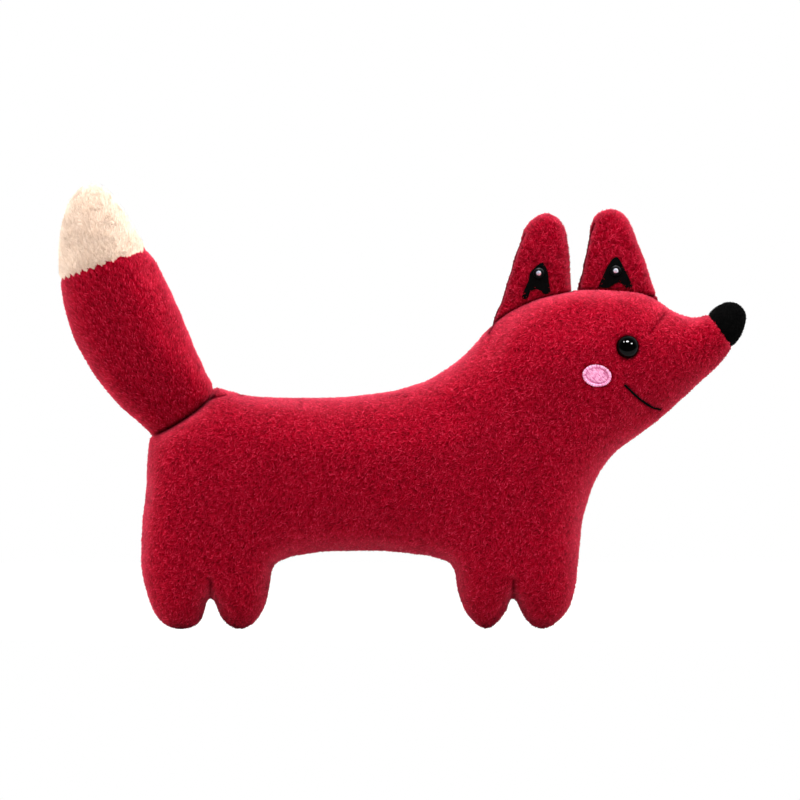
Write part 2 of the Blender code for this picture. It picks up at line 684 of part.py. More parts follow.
def fit_eye(word, side):
    start = head.point(EYE_ALONG, EYE_BOW, side * REACH)
    place, normal = surface(head.clearance(0), start, Vector((0, -side, 0)))
    frame = Matrix.Translation(place + normal * GAP) @ facing(normal)
    eye = turned(f"eye_{word}", eye_profile(), EYE_STEPS, "black_plastic")
    eye.matrix_world = frame
    depth = rim_depth(frame, WASHER_DIAMETER / 2, head.cavity()) + GAP
    washer = turned(f"eye_washer_{word}", washer_profile(), EYE_STEPS, "white_plastic")
    washer.matrix_world = frame @ Matrix.Translation((0, 0, -depth))
    hole = round_cutter(f"eye_hole_{word}", SHANK_DIAMETER / 2 + GAP, -depth, GAP * 4, frame)
    # The exact solver leaves the cover open at this hole
    combine(head_cover, hole, 'DIFFERENCE', 'MANIFOLD')
    pocket = round_cutter(f"washer_pocket_{word}", WASHER_DIAMETER / 2 + GAP,
                          -depth - WASHER_THICKNESS - GAP, GAP * 4, frame)
    well = round_cutter(f"hub_pocket_{word}", WASHER_HUB_DIAMETER / 2 + GAP,
                        -SHANK_LENGTH - GAP, GAP * 3, frame)
    combine(body_stuffing, pocket, 'DIFFERENCE')
    combine(body_stuffing, well, 'DIFFERENCE')


for word, side in (("right", -1), ("left", 1)):
    fit_eye(word, side)
    embroider(f"cheek_{word}", cheek_points(), side, "pink_thread")
    embroider(f"mouth_{word}", ribbon(mouth_points(), MOUTH_WIDTH), side, "black_thread")
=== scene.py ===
# Plush fox: short red pile cloth, cream tail tip, black nose, safety eyes and stitched cheeks
import math
import time
from functools import partial
import bpy
import bmesh
import numpy as np
from mathutils import Matrix, Vector, geometry
from mathutils.bvhtree import BVHTree


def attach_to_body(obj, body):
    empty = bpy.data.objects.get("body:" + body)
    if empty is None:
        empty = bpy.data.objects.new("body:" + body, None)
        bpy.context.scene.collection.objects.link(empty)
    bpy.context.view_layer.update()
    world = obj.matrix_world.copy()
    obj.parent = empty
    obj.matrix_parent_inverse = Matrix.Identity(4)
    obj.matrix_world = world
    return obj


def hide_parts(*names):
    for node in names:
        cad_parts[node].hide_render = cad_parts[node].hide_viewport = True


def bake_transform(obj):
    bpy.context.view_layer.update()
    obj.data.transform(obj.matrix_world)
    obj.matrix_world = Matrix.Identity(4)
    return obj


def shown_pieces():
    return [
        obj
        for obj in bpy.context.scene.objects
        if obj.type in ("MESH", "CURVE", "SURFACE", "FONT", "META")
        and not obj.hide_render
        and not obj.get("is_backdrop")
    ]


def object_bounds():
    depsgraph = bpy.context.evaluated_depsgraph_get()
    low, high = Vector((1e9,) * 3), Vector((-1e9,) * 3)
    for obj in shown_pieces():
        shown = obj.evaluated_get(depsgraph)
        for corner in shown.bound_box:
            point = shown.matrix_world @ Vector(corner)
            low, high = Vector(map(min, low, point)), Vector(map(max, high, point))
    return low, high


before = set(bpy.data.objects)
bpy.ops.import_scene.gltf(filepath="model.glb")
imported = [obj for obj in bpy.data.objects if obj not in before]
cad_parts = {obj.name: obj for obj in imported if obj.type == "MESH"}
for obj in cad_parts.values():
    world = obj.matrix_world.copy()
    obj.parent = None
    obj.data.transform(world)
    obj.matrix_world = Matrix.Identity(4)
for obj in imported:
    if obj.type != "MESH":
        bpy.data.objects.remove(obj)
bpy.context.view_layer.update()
startedAt = time.time()
mm = 0.001
sides = (("right", -1), ("left", 1))


def say(text):
    print("fox %6.1f s  %s" % (time.time() - startedAt, text), flush=True)


# Materials

def linear(code):  # sRGB hex to linear colour
    parts = [int(code[i:i + 2], 16) / 255 for i in (1, 3, 5)]
    return tuple(c / 12.92 if c <= 0.04045 else ((c + 0.055) / 1.055) ** 2.4 for c in parts) + (1.0,)


def feed(node, inputs):  # gives a node's sockets their values or links; a node stands for its first output in use
    for key, value in inputs.items():
        if isinstance(value, bpy.types.Node):
            value = next(socket for socket in value.outputs if socket.enabled)
        if isinstance(value, bpy.types.NodeSocket):
            node.id_data.links.new(value, node.inputs[key])
        else:
            node.inputs[key].default_value = value


def addNode(tree, kind, inputs=None, **settings):  # a node with its settings, values and links
    node = tree.nodes.new(kind)
    for key, value in settings.items():
        setattr(node, key, value)
    feed(node, inputs or {})
    return node


def fillRamp(node, stops):
    elements = node.color_ramp.elements
    while len(elements) < len(stops):
        elements.new(0.5)
    for element, (place, code) in zip(elements, stops):
        element.position = place
        element.color = linear(code)
    return node


def newMaterial(name):  # an empty material, with the function that adds nodes to it
    material = bpy.data.materials.new(name)
    material.use_nodes = True
    material.node_tree.nodes.clear()
    return material, partial(addNode, material.node_tree)


def startMaterial(name):
    material, add = newMaterial(name)
    shader = add("ShaderNodeBsdfPrincipled")
    add("ShaderNodeOutputMaterial", {"Surface": shader})
    return material, add, shader, add("ShaderNodeTexCoord").outputs["Object"]


def clothColour(add, look, colour):  # painted rim light, paler towards an edge; painted shade, darker down in a crease
    shade, curve = (add("ShaderNodeAttribute", attribute_name=word).outputs["Fac"] for word in ("shade", "curve"))
    paintedRim = add("ShaderNodeMath", {0: curve, 1: look["rimLightShare"]}, operation="MULTIPLY")
    rimLit = add("ShaderNodeMix", {0: paintedRim, 6: colour, 7: linear(look["rimLightColour"])}, data_type="RGBA")
    shaded = add("ShaderNodeMix", {0: shade, 6: linear(look["deep"]), 7: rimLit}, data_type="RGBA")
    return {"Base Color": shaded, "Sheen Roughness": 0.3, "Sheen Tint": linear(look["sheenTint"])}, shade


def pileMaterial(name, look):  # cut polyester pile: each tuft is darker at its root, and unlike its neighbour
    material, add, shader, place = startMaterial(name)
    along, tone = (add("ShaderNodeAttribute", attribute_name=word).outputs["Fac"] for word in ("along", "tone"))
    broad = add("ShaderNodeTexNoise", {"Vector": place, "Scale": 1 / look["blotch"], "Detail": 3.0})
    blend = add("ShaderNodeMath", {0: along, 1: look["rootWeight"]}, operation="MULTIPLY")
    for value, weight in ((tone, look["tuftWeight"]), (broad, 1 - look["rootWeight"] - look["tuftWeight"])):
        blend = add("ShaderNodeMath", {0: value, 1: weight, 2: blend}, operation="MULTIPLY_ADD")
    ramp = fillRamp(add("ShaderNodeValToRGB", {"Fac": blend}), look["colours"])
    sockets, shade = clothColour(add, look, ramp)
    feed(shader, sockets)
    low, high = look["rough"]
    # the sheen is weakened with the painted shade
    feed(shader, {"Sheen Weight": add("ShaderNodeMath", {0: shade, 1: look["sheen"]}, operation="MULTIPLY"),
                  "Roughness": add("ShaderNodeMapRange", {"Value": tone, "To Min": low, "To Max": high}),
                  "Specular IOR Level": look["gloss"]})
    return material


def groundMaterial(name, look):  # the knitted ground under the pile, seen only as shade between the tufts
    material, add, shader, place = startMaterial(name)
    fine = add("ShaderNodeTexNoise", {"Vector": place, "Scale": 1 / look["grain"], "Detail": 2.0})
    ramp = fillRamp(add("ShaderNodeValToRGB", {"Fac": fine}), look["colours"])
    feed(shader, clothColour(add, look, ramp)[0])
    feed(shader, {"Normal": add("ShaderNodeBump", {"Height": fine, "Strength": 0.6, "Distance": 0.6 * mm}),
                  "Roughness": 0.85, "Sheen Weight": look["sheen"], "Specular IOR Level": 0.0})
    return material


# in each look the crease colour is painted shade, and the edge colour with its share is painted rim light
redPile = pileMaterial("red cut pile", {
    "colours": ((0.12, "#50020b"), (0.36, "#8a0a1c"), (0.6, "#ac0e27"), (0.84, "#d8304b")),
    "deep": "#1c0003", "rimLightColour": "#f5647e", "rimLightShare": 0.42, "blotch": 11 * mm, "rootWeight": 0.3, "tuftWeight": 0.62,
    "rough": (0.6, 0.85), "sheen": 0.7, "sheenTint": "#ff808e", "gloss": 0.0})
creamPile = pileMaterial("cream cut pile", {
    "colours": ((0.1, "#c6a88f"), (0.36, "#e1c6af"), (0.62, "#efd7c4"), (0.86, "#faeadc")),
    "deep": "#a88a74", "rimLightColour": "#f4e0cd", "rimLightShare": 0.5, "blotch": 9 * mm, "rootWeight": 0.2, "tuftWeight": 0.55,
    "rough": (0.6, 0.85), "sheen": 0.3, "sheenTint": "#fff0e2", "gloss": 0.03})
blackPile = pileMaterial("black cut pile", {
    "colours": ((0.2, "#040404"), (0.5, "#090909"), (0.75, "#131212"), (0.95, "#222121")),
    "deep": "#000000", "rimLightColour": "#2c2b2b", "rimLightShare": 0.5, "blotch": 6 * mm, "rootWeight": 0.3, "tuftWeight": 0.5,
    "rough": (0.5, 0.75), "sheen": 0.03, "sheenTint": "#8a8686", "gloss": 0.0})
redGround = groundMaterial("red knitted ground", {
    "grain": 1.3 * mm, "colours": ((0.3, "#70000f"), (0.6, "#920018"), (0.8, "#a40622")),
    "deep": "#1c0003", "rimLightColour": "#f5647e", "rimLightShare": 0.3, "sheen": 0.2, "sheenTint": "#ff7d8c"})
creamGround = groundMaterial("cream knitted ground", {
    "grain": 1.3 * mm, "colours": ((0.3, "#dec4ae"), (0.6, "#ead2be"), (0.8, "#f1decd")),
    "deep": "#a88a74", "rimLightColour": "#ecd9c8", "rimLightShare": 0.3, "sheen": 0.1, "sheenTint": "#fff4e6"})
blackGround = groundMaterial("black knitted ground", {
    "grain": 1.1 * mm, "colours": ((0.3, "#040404"), (0.6, "#080808"), (0.8, "#0d0d0d")),
    "deep": "#000000", "rimLightColour": "#101010", "rimLightShare": 0.3, "sheen": 0.0, "sheenTint": "#8a8686"})


def feltMaterial(name, look):  # pressed felt: matt, with a fine tangled grain
    material, add, shader, place = startMaterial(name)
    tangle = add("ShaderNodeTexNoise", {"Vector": place, "Scale": 1 / look["grain"], "Detail": 4.0, "Distortion": 1.5})
    feed(shader, {"Base Color": fillRamp(add("ShaderNodeValToRGB", {"Fac": tangle}), look["colours"]),
                  "Normal": add("ShaderNodeBump", {"Height": tangle, "Strength": 0.7, "Distance": look["relief"]}),
                  "Roughness": 0.92, "Specular IOR Level": 0.0})
    return material


def threadMaterial(name, look):  # rayon thread: silky along the strand, its twist drawn coarser than real, to show
    material, add, shader, place = startMaterial(name)
    tone = add("ShaderNodeAttribute", attribute_name="tone").outputs["Fac"]
    twist = add("ShaderNodeTexWave", {"Vector": place, "Scale": 1 / (1.6 * mm), "Distortion": 2.0},
                bands_direction="DIAGONAL").outputs["Fac"]
    speck = add("ShaderNodeTexNoise", {"Vector": place, "Scale": 1 / (1.4 * mm)})
    blend = add("ShaderNodeMath", {0: tone, 1: 0.55}, operation="MULTIPLY")
    blend = add("ShaderNodeMath", {0: speck, 1: 0.45, 2: blend}, operation="MULTIPLY_ADD")
    feed(shader, {"Base Color": fillRamp(add("ShaderNodeValToRGB", {"Fac": blend}), look["colours"]),
                  "Normal": add("ShaderNodeBump", {"Height": twist, "Strength": 0.35, "Distance": 0.1 * mm}),
                  "Roughness": look["rough"], "Sheen Weight": look["sheen"], "Specular IOR Level": look["gloss"]})
    return material


def plasticMaterial(name, look):  # moulded plastic with a slight unevenness of its polish
    material, add, shader, place = startMaterial(name)
    haze = add("ShaderNodeTexNoise", {"Vector": place, "Scale": 1 / (3 * mm), "Detail": 2.0})
    low, high = look["rough"]
    feed(shader, {"Base Color": fillRamp(add("ShaderNodeValToRGB", {"Fac": haze}), look["colours"]),
                  "Roughness": add("ShaderNodeMapRange", {"Value": haze, "To Min": low, "To Max": high})})
    feed(shader, look["sockets"])
    return material


blackFelt = feltMaterial("black felt", {
    "grain": 0.9 * mm, "relief": 0.4 * mm, "colours": ((0.35, "#060606"), (0.6, "#0a0a0a"), (0.8, "#121111"))})
pinkThread = threadMaterial("pink rayon thread", {
    "colours": ((0.15, "#c0487e"), (0.35, "#e27fb0"), (0.55, "#f2a2cb"), (0.9, "#fbc4e0")),
    "rough": 0.45, "gloss": 0.3, "sheen": 0.1})
blackThread = threadMaterial("black rayon thread", {
    "colours": ((0.2, "#020101"), (0.6, "#040303"), (0.9, "#0c090a")), "rough": 0.7, "gloss": 0.02, "sheen": 0.0})
eyePlastic = plasticMaterial("polished black acrylic", {
    "colours": ((0.3, "#010101"), (0.8, "#030303")), "rough": (0.02, 0.05),
    "sockets": {"IOR": 1.49, "Specular IOR Level": 0.1}})
settingPlastic = plasticMaterial("satin black acrylic", {
    "colours": ((0.3, "#020202"), (0.8, "#050405")), "rough": (0.25, 0.4),
    "sockets": {"IOR": 1.49, "Specular IOR Level": 0.05}})
# the pinkish stop is painted reflection of the red pile round it; the other colours are the crystal's own
crystalGlass = plasticMaterial("foil backed crystal", {
    "colours": ((0.35, "#b9bcd6"), (0.5, "#dfe3f2"), (0.65, "#e9c9cf")), "rough": (0.04, 0.1),
    "sockets": {"Metallic": 0.55, "Coat Weight": 1.0, "Coat Roughness": 0.03, "IOR": 1.55}})
whitePlastic = plasticMaterial("natural polypropylene", {
    "colours": ((0.3, "#dcdcd6"), (0.8, "#ecece8")), "rough": (0.45, 0.6), "sockets": {"IOR": 1.49}})
say("materials made")


# Outlines, in mm from the middle of the toy along the floor and up from it

bodyOutline = [
    (-104.8, 133.8), (-98.0, 132.2), (-91.5, 130.3), (-84.9, 128.7), (-71.7, 127.9), (-58.5, 127.6), (-45.3, 127.6),
    (-32.1, 128.2), (-18.9, 129.2), (-5.7, 130.9), (0.9, 132.6), (7.5, 134.5), (14.1, 137.0),
    (20.7, 140.8), (27.3, 145.2), (33.9, 150.7), (40.5, 157.9), (47.1, 166.1), (54.8, 173.2),
    (63.6, 178.8), (73.5, 182.6), (84.5, 185.4), (97.7, 187.3), (112.0, 187.8), (126.3, 186.7),
    (134.0, 184.8), (139.5, 181.5), (146.1, 176.6), (152.7, 173.2), (159.3, 171.6), (165.9, 172.7),
    (172.3, 178.2), (179.1, 181.0), (186.0, 179.3), (189.5, 174.6), (189.9, 169.9), (187.9, 163.1),
    (184.5, 157.5), (179.8, 152.2), (175.8, 146.9), (170.3, 141.4), (164.2, 135.9), (158.2, 130.4),
    (152.1, 124.9), (146.1, 119.4), (139.5, 113.9), (132.3, 108.4), (124.6, 102.9), (117.5, 97.4),
    (112.5, 91.9), (108.7, 86.4), (105.9, 80.9), (103.7, 75.4), (102.1, 69.9), (100.4, 64.4),
    (99.3, 58.9), (98.2, 47.9), (97.1, 36.9), (96.0, 25.9), (94.9, 20.4), (93.3, 14.9), (90.5, 9.4),
    (85.6, 3.9), (80.6, 0.6), (76.2, -0.3), (72.9, 0.6), (68.5, 3.9), (65.2, 9.4), (63.4, 13.2),
    (62.2, 15.9), (60.8, 16.8), (59.5, 15.9), (58.4, 13.2), (57.0, 9.4), (53.1, 3.9), (49.3, 0.6),
    (46.0, -0.3), (42.7, 0.6),
    (38.8, 3.9), (34.4, 9.4), (32.2, 14.9), (30.6, 20.4), (29.5, 25.9), (28.9, 31.4), (25.6, 36.6),
    (20.7, 38.5), (14.1, 40.2), (7.5, 40.7), (0.9, 41.2), (-18.9, 42.4), (-32.1, 42.4),
    (-45.3, 42.1), (-51.9, 41.2), (-61.3, 39.6), (-69.0, 36.3), (-71.7, 31.9), (-72.3, 27.5),
    (-73.4, 20.4), (-74.5, 14.9), (-76.7, 9.4), (-80.5, 3.9), (-84.9, 0.6), (-89.3, -0.3),
    (-93.7, 0.6), (-98.1, 3.9), (-101.4, 9.4), (-102.7, 13.2), (-103.9, 15.9), (-105.3, 16.8),
    (-106.7, 15.9), (-107.9, 13.2),
    (-108.6, 9.4), (-110.8, 3.9), (-115.7, 0.6), (-121.8, -0.3), (-127.8, 0.6), (-132.8, 3.9),
    (-136.6, 9.4), (-138.8, 14.9), (-140.5, 20.4), (-142.1, 25.9), (-143.2, 31.4), (-143.8, 36.9),
    (-143.8, 47.9), (-143.2, 58.9), (-142.7, 64.4), (-142.1, 69.9), (-141.0, 80.9), (-140.5, 91.9),
    (-139.9, 97.4), (-139.4, 102.9), (-138.3, 107.2), (-134.8, 110.0), (-129.0, 112.6), (-121.3, 117.0),
    (-113.6, 122.5), (-108.3, 127.4), (-105.6, 130.8)]
tailOutline = [
    (-138.8, 107.3), (-145.4, 113.9), (-152.0, 119.4), (-157.5, 124.9), (-162.5, 130.4),
    (-166.9, 135.9), (-170.7, 141.4), (-174.0, 146.9), (-177.3, 152.4), (-180.1, 157.9),
    (-182.3, 163.4), (-183.9, 168.9), (-185.6, 174.4), (-186.7, 179.9), (-188.3, 191.4),
    (-189.0, 201.6), (-188.8, 211.8), (-187.6, 221.9), (-185.0, 231.1), (-181.4, 238.2),
    (-176.3, 243.3), (-171.3, 244.8), (-166.2, 244.3), (-161.1, 240.7), (-155.0, 233.1),
    (-147.8, 221.9), (-140.2, 208.7), (-135.0, 201.9), (-132.2, 196.4), (-129.5, 190.9),
    (-126.7, 185.4), (-124.5, 179.9), (-121.8, 174.4), (-119.8, 168.9), (-117.4, 163.4),
    (-115.2, 157.9), (-113.0, 152.4), (-110.2, 146.9), (-108.0, 141.4), (-104.7, 135.9),
    (-103.8, 132.0), (-102.6, 126.5), (-106.3, 119.5), (-112.4, 113.6), (-120.1, 108.4),
    (-128.4, 104.6), (-134.4, 103.0), (-138.2, 104.6)]
rearOutline = [
    (47.1, 164.5), (50.4, 174.4), (53.1, 179.9), (54.8, 185.4), (56.4, 190.9), (58.1, 196.4),
    (59.7, 201.9), (61.4, 207.4), (63.6, 212.9), (65.8, 218.4), (69.6, 223.9), (74.0, 227.4),
    (78.7, 229.1), (83.4, 227.7), (87.2, 224.7), (90.0, 219.5), (91.1, 213.4), (91.9, 207.4),
    (92.5, 200.2), (92.7, 192.0), (93.3, 185.4), (93.8, 179.3), (86.7, 176.6), (75.7, 173.8),
    (64.7, 168.9), (56.4, 162.2), (49.8, 157.9), (46.5, 160.1)]
frontOutline = [
    (95.8, 185.4), (96.0, 190.9), (97.7, 196.4), (98.5, 201.9), (99.9, 207.4), (101.0, 212.9),
    (102.1, 218.4), (103.7, 223.9), (107.6, 229.1), (113.6, 231.3), (119.7, 229.9), (124.6, 225.0),
    (127.4, 218.9), (129.6, 212.9), (131.8, 207.4), (134.0, 201.9), (135.6, 196.4), (137.3, 190.9),
    (139.5, 185.4), (140.9, 181.0), (139.5, 176.6), (130.7, 177.1), (118.6, 178.8), (106.5, 179.3),
    (98.2, 179.3)]


# A form is puffed up from its outline as cloth sewn round the edge would be, then meshed evenly

def smoothPath(path, closed=False, step=1 * mm):  # a smooth line in m through points given in mm
    path = np.array(path, float) * mm
    count = len(path)
    made = []
    for i in range(count if closed else count - 1):
        ends = [(i + k) % count if closed else min(max(i + k, 0), count - 1) for k in (-1, 0, 1, 2)]
        a, b, c, d = path[ends]
        steps = max(2, int(np.linalg.norm(c - b) / step))
        for t in np.arange(steps) / steps:
            bent = 2 * b + (c - a) * t + (2 * a - 5 * b + 4 * c - d) * t * t + (3 * b - a - 3 * c + d) * t ** 3
            made.append(0.5 * bent)
    if not closed:
        made.append(path[-1])
    return np.array(made)


def distanceTo(path, x, z, closed=False):  # from points to a path
    best = np.full(np.shape(x), 1e9)
    ends = np.roll(path, -1, 0) if closed else path[1:]
    for (ax, az), (bx, bz) in zip(path, ends):
        dx, dz = bx - ax, bz - az
        t = np.clip(((x - ax) * dx + (z - az) * dz) / (dx * dx + dz * dz + 1e-20), 0, 1)
        best = np.minimum(best, (x - ax - t * dx) ** 2 + (z - az - t * dz) ** 2)
    return np.sqrt(best)


def isInside(loop, x, z):
    crossed = np.zeros(np.shape(x), bool)
    for (ax, az), (bx, bz) in zip(loop, np.roll(loop, -1, 0)):
        if az != bz:
            crossed ^= (z >= min(az, bz)) & (z < max(az, bz)) & (x < ax + (z - az) * (bx - ax) / (bz - az))
    return crossed


def insetFrom(loop, x, z):  # the distance inside a closed path, below 0 outside it
    return np.where(isInside(loop, x, z), 1, -1) * distanceTo(loop, x, z, True)


def lookUp(field, x, z):  # a value between the points of a grid
    grid, lowX, lowZ, cell = field
    u = np.clip((x - lowX) / cell, 0, grid.shape[0] - 1.001)
    v = np.clip((z - lowZ) / cell, 0, grid.shape[1] - 1.001)
    i, j = u.astype(int), v.astype(int)
    u, v = u - i, v - j
    low = grid[i, j] * (1 - u) + grid[i + 1, j] * u
    high = grid[i, j + 1] * (1 - u) + grid[i + 1, j + 1] * u
    return low * (1 - v) + high * v


def within(field, points):  # above 0 inside a puffed form
    return lookUp(field, points[:, 0], points[:, 2]) - points[:, 1] ** 2


def gridOver(points, margin, cell):
    return [np.arange(points[:, k].min() - margin, points[:, k].max() + margin, cell) for k in (0, 1)]


def solveSwelling(signed, cell):  # the height of a film under even pressure, held down round the outline
    inside = signed > 0
    diagonal = np.zeros(signed.shape)
    for axis, way in ((0, 1), (0, -1), (1, 1), (1, -1)):
        beyond = np.roll(signed, -way, axis)
        diagonal += np.where(beyond > 0, 1, 1 / np.clip(signed / (signed - beyond + 1e-12), 0.08, 1))

    def spread(h):
        total = diagonal * h
        total[1:] -= h[:-1]
        total[:-1] -= h[1:]
        total[:, 1:] -= h[:, :-1]
        total[:, :-1] -= h[:, 1:]
        return total * inside

    height = np.zeros(signed.shape)
    residual = inside * cell * cell
    search = residual.copy()
    energy = (residual ** 2).sum()
    for _ in range(700):
        spreadOut = spread(search)
        share = energy / (search * spreadOut).sum()
        height += share * search
        residual = residual - share * spreadOut
        fresh = (residual ** 2).sum()
        if fresh < 1e-10 * cell ** 4 * inside.sum():
            break
        search = residual + fresh / energy * search
        energy = fresh
    return np.maximum(height, 0)


def puff(outline, form):  # the square of the half depth at each place inside the outline, in m2
    cell = form["cell"]
    loop = smoothPath(outline, True, 1.2 * mm)
    xs, zs = gridOver(loop, 6 * mm, cell)
    x, z = np.meshgrid(xs, zs, indexing="ij")
    signed = insetFrom(loop, x, z) - form["pileRoom"]
    swollen = form["roundness"] * np.sqrt(2 * solveSwelling(signed, cell))
    weight = total = 1e-12
    for (bx, bz), reach, depth in form["depths"]:
        near = np.exp(-((x - bx * mm) ** 2 + (z - bz * mm) ** 2) / (2 * (reach * mm) ** 2)) + 1e-9
        weight, total = weight + near, total + near * depth * mm
    power = form["flatness"]
    depth = (np.maximum(swollen, 1e-7) ** -power + (total / weight) ** -power) ** (-1 / power)
    square = np.where(signed > 0, depth ** 2, 0)
    slopeX, slopeZ = np.gradient(signed, cell)
    mirrored = lookUp((square, xs[0], zs[0], cell), x - 2 * signed * slopeX, z - 2 * signed * slopeZ)
    square = np.where(signed > 0, square, -np.maximum(mirrored, 2e-3 * np.abs(signed)))
    return square, xs[0], zs[0], cell


def skinOf(field, cell):  # one even net of four-sided faces over the puffed form
    grid, lowX, lowZ, fine = field
    widest = math.ceil((math.sqrt(grid.max()) + 2 * cell) / cell)
    xs = np.arange(lowX, lowX + (grid.shape[0] - 1) * fine, cell)
    ys = np.arange(-widest - 0.5, widest + 1) * cell
    zs = np.arange(lowZ, lowZ + (grid.shape[1] - 1) * fine, cell)
    flat = lookUp(field, *np.meshgrid(xs, zs, indexing="ij"))
    value = flat[:, None, :] - (ys ** 2)[None, :, None]
    size = np.array(value.shape)
    total = np.zeros(tuple(size - 1) + (3,))
    count = np.zeros(tuple(size - 1))
    cross = []
    for axis in range(3):
        low = np.moveaxis(value, axis, 0)[:-1]
        high = np.moveaxis(value, axis, 0)[1:]
        changes = (low > 0) != (high > 0)
        share = np.where(changes, low / np.where(changes, low - high, 1), 0)
        changes, share = np.moveaxis(changes, 0, axis), np.moveaxis(share, 0, axis)
        cross.append((changes, np.moveaxis(low > 0, 0, axis)))
        place = np.stack(np.indices(changes.shape), -1).astype(float)
        place[..., axis] += share
        others = [k for k in range(3) if k != axis]
        for steps in ((0, 0), (0, 1), (1, 0), (1, 1)):
            cut = [slice(None)] * 3
            for other, step in zip(others, steps):
                cut[other] = slice(step, step + size[other] - 1)
            cut = tuple(cut)
            total += changes[cut][..., None] * place[cut]
            count += changes[cut]
    used = count > 0
    number = np.full(count.shape, -1)
    number[used] = np.arange(used.sum())
    points = total[used] / count[used][:, None] * cell + np.array([xs[0], ys[0], zs[0]])
    faces = []
    for axis, (changes, outward) in enumerate(cross):
        i = np.argwhere(changes)
        b, c = (axis + 1) % 3, (axis + 2) % 3
        i = i[(i[:, b] > 0) & (i[:, b] < size[b] - 1) & (i[:, c] > 0) & (i[:, c] < size[c] - 1)]
        corners = []
        for stepB, stepC in ((-1, -1), (0, -1), (0, 0), (-1, 0)):
            j = i.copy()
            j[:, b] += stepB
            j[:, c] += stepC
            corners.append(number[tuple(j.T)])
        quad = np.stack(corners, 1)
        flip = ~outward[tuple(i.T)]
        quad[flip] = quad[flip][:, ::-1]
        faces.append(quad)
    return points, np.concatenate(faces)


def neighbourMean(values, edges):
    count = len(values)
    total = np.zeros((count,) + values.shape[1:])
    number = np.bincount(edges.ravel(), minlength=count)
    for a, b in ((0, 1), (1, 0)):
        for k in range(values.shape[1]):
            total[:, k] += np.bincount(edges[:, a], weights=values[edges[:, b], k], minlength=count)
    return total / np.maximum(number, 1)[:, None]


def settleOn(field, points, quads, rounds):  # evens the net out and lays it back on the form
    edges = np.concatenate([np.stack([quads[:, k], quads[:, (k + 1) % 4]], 1) for k in range(4)])
    edges = np.unique(np.sort(edges, 1), axis=0)
    step, farthest = 0.6 * mm, 0.8 * mm
    for _ in range(rounds):
        points = points + 0.6 * (neighbourMean(points, edges) - points)
        x, y, z = points.T
        slopeX = (lookUp(field, x + step, z) - lookUp(field, x - step, z)) / (2 * step)
        slopeZ = (lookUp(field, x, z + step) - lookUp(field, x, z - step)) / (2 * step)
        slope = np.stack([slopeX, -2 * y, slopeZ], 1)
        move = within(field, points)[:, None] * slope / ((slope ** 2).sum(1)[:, None] + 1e-9)
        length = np.linalg.norm(move, axis=1)[:, None]
        points = points - move * np.minimum(1, farthest / np.maximum(length, 1e-12))
    return points


def objectOf(name, mesh):
    piece = bpy.data.objects.new(name, mesh)
    bpy.context.scene.collection.objects.link(piece)
    return piece


def meshObject(name, points, faces, material=None, edges=()):
    mesh = bpy.data.meshes.new(name)
    mesh.from_pydata([tuple(p) for p in points], edges, [tuple(f) for f in faces])
    mesh.update()
    if material:
        mesh.materials.append(material)
    return objectOf(name, mesh)


def readVectors(rows, name):  # one vector of each vertex, face or attribute row
    flat = np.empty(len(rows) * 3, np.float32)
    rows.foreach_get(name, flat)
    return flat.reshape(-1, 3).astype(float)


def pointsOf(mesh):
    return readVectors(mesh.vertices, "co")


def placePoints(mesh, points):
    mesh.vertices.foreach_set("co", points.astype(np.float32).ravel())
    mesh.update()


def smoothShade(piece):
    piece.data.polygons.foreach_set("use_smooth", [True] * len(piece.data.polygons))
    piece.data.update()


def applyModifiers(piece):
    evaluated = piece.evaluated_get(bpy.context.evaluated_depsgraph_get())
    mesh = bpy.data.meshes.new_from_object(evaluated)
    piece.modifiers.clear()
    piece.data = mesh


def swell(piece, seam, cloth):  # cloth pressure between the seams, with no point moving far
    scene = bpy.context.scene
    group = piece.vertex_groups.new(name="seam")
    group.add([int(i) for i in np.flatnonzero(seam)], 1.0, "REPLACE")
    modifier = piece.modifiers.new("Swell", "CLOTH")
    settings = modifier.settings
    settings.vertex_group_mass = "seam"
    settings.quality = 5
    settings.mass = 0.2
    settings.tension_stiffness = settings.compression_stiffness = cloth["stiffness"]
    settings.shear_stiffness = cloth["stiffness"] * 0.5
    settings.bending_stiffness = 0.3
    settings.use_pressure = True
    settings.uniform_pressure_force = cloth["pressure"]
    settings.shrink_min = cloth["shrink"]
    settings.effector_weights.gravity = 0
    modifier.collision_settings.use_collision = False
    modifier.point_cache.frame_start = scene.frame_start = 1
    modifier.point_cache.frame_end = scene.frame_end = cloth["frames"]
    for number in range(1, cloth["frames"] + 1):
        scene.frame_set(number)
    evaluated = piece.evaluated_get(bpy.context.evaluated_depsgraph_get())
    start, end = pointsOf(piece.data), pointsOf(evaluated.data)
    piece.modifiers.remove(modifier)
    piece.vertex_groups.clear()
    scene.frame_set(1)
    move = end - start
    edges = np.array([e.vertices[:] for e in piece.data.edges])
    for _ in range(cloth["evened"]):
        move += 0.6 * (neighbourMean(move, edges) - move)
    length = np.linalg.norm(move, axis=1)[:, None]
    move *= np.minimum(1, cloth["most"] / np.maximum(length, 1e-12))
    placePoints(piece.data, start + move)
    say("%s swollen by up to %.1f mm, %.1f mm in the middle" % (
        piece.name, length.max() / mm, np.median(length) / mm))


def makeForm(name, outline, form):
    field = puff(outline, form)
    points, quads = skinOf(field, form["net"])
    points = settleOn(field, points, quads, 5)
    piece = meshObject(name, points, quads)
    swell(piece, np.abs(points[:, 1]) < form["seamWidth"], form["cloth"])
    modifier = piece.modifiers.new("Finish", "SUBSURF")
    modifier.levels = modifier.render_levels = 1
    applyModifiers(piece)
    smoothShade(piece)
    say("%s has %d faces" % (name, len(piece.data.polygons)))
    return piece, field


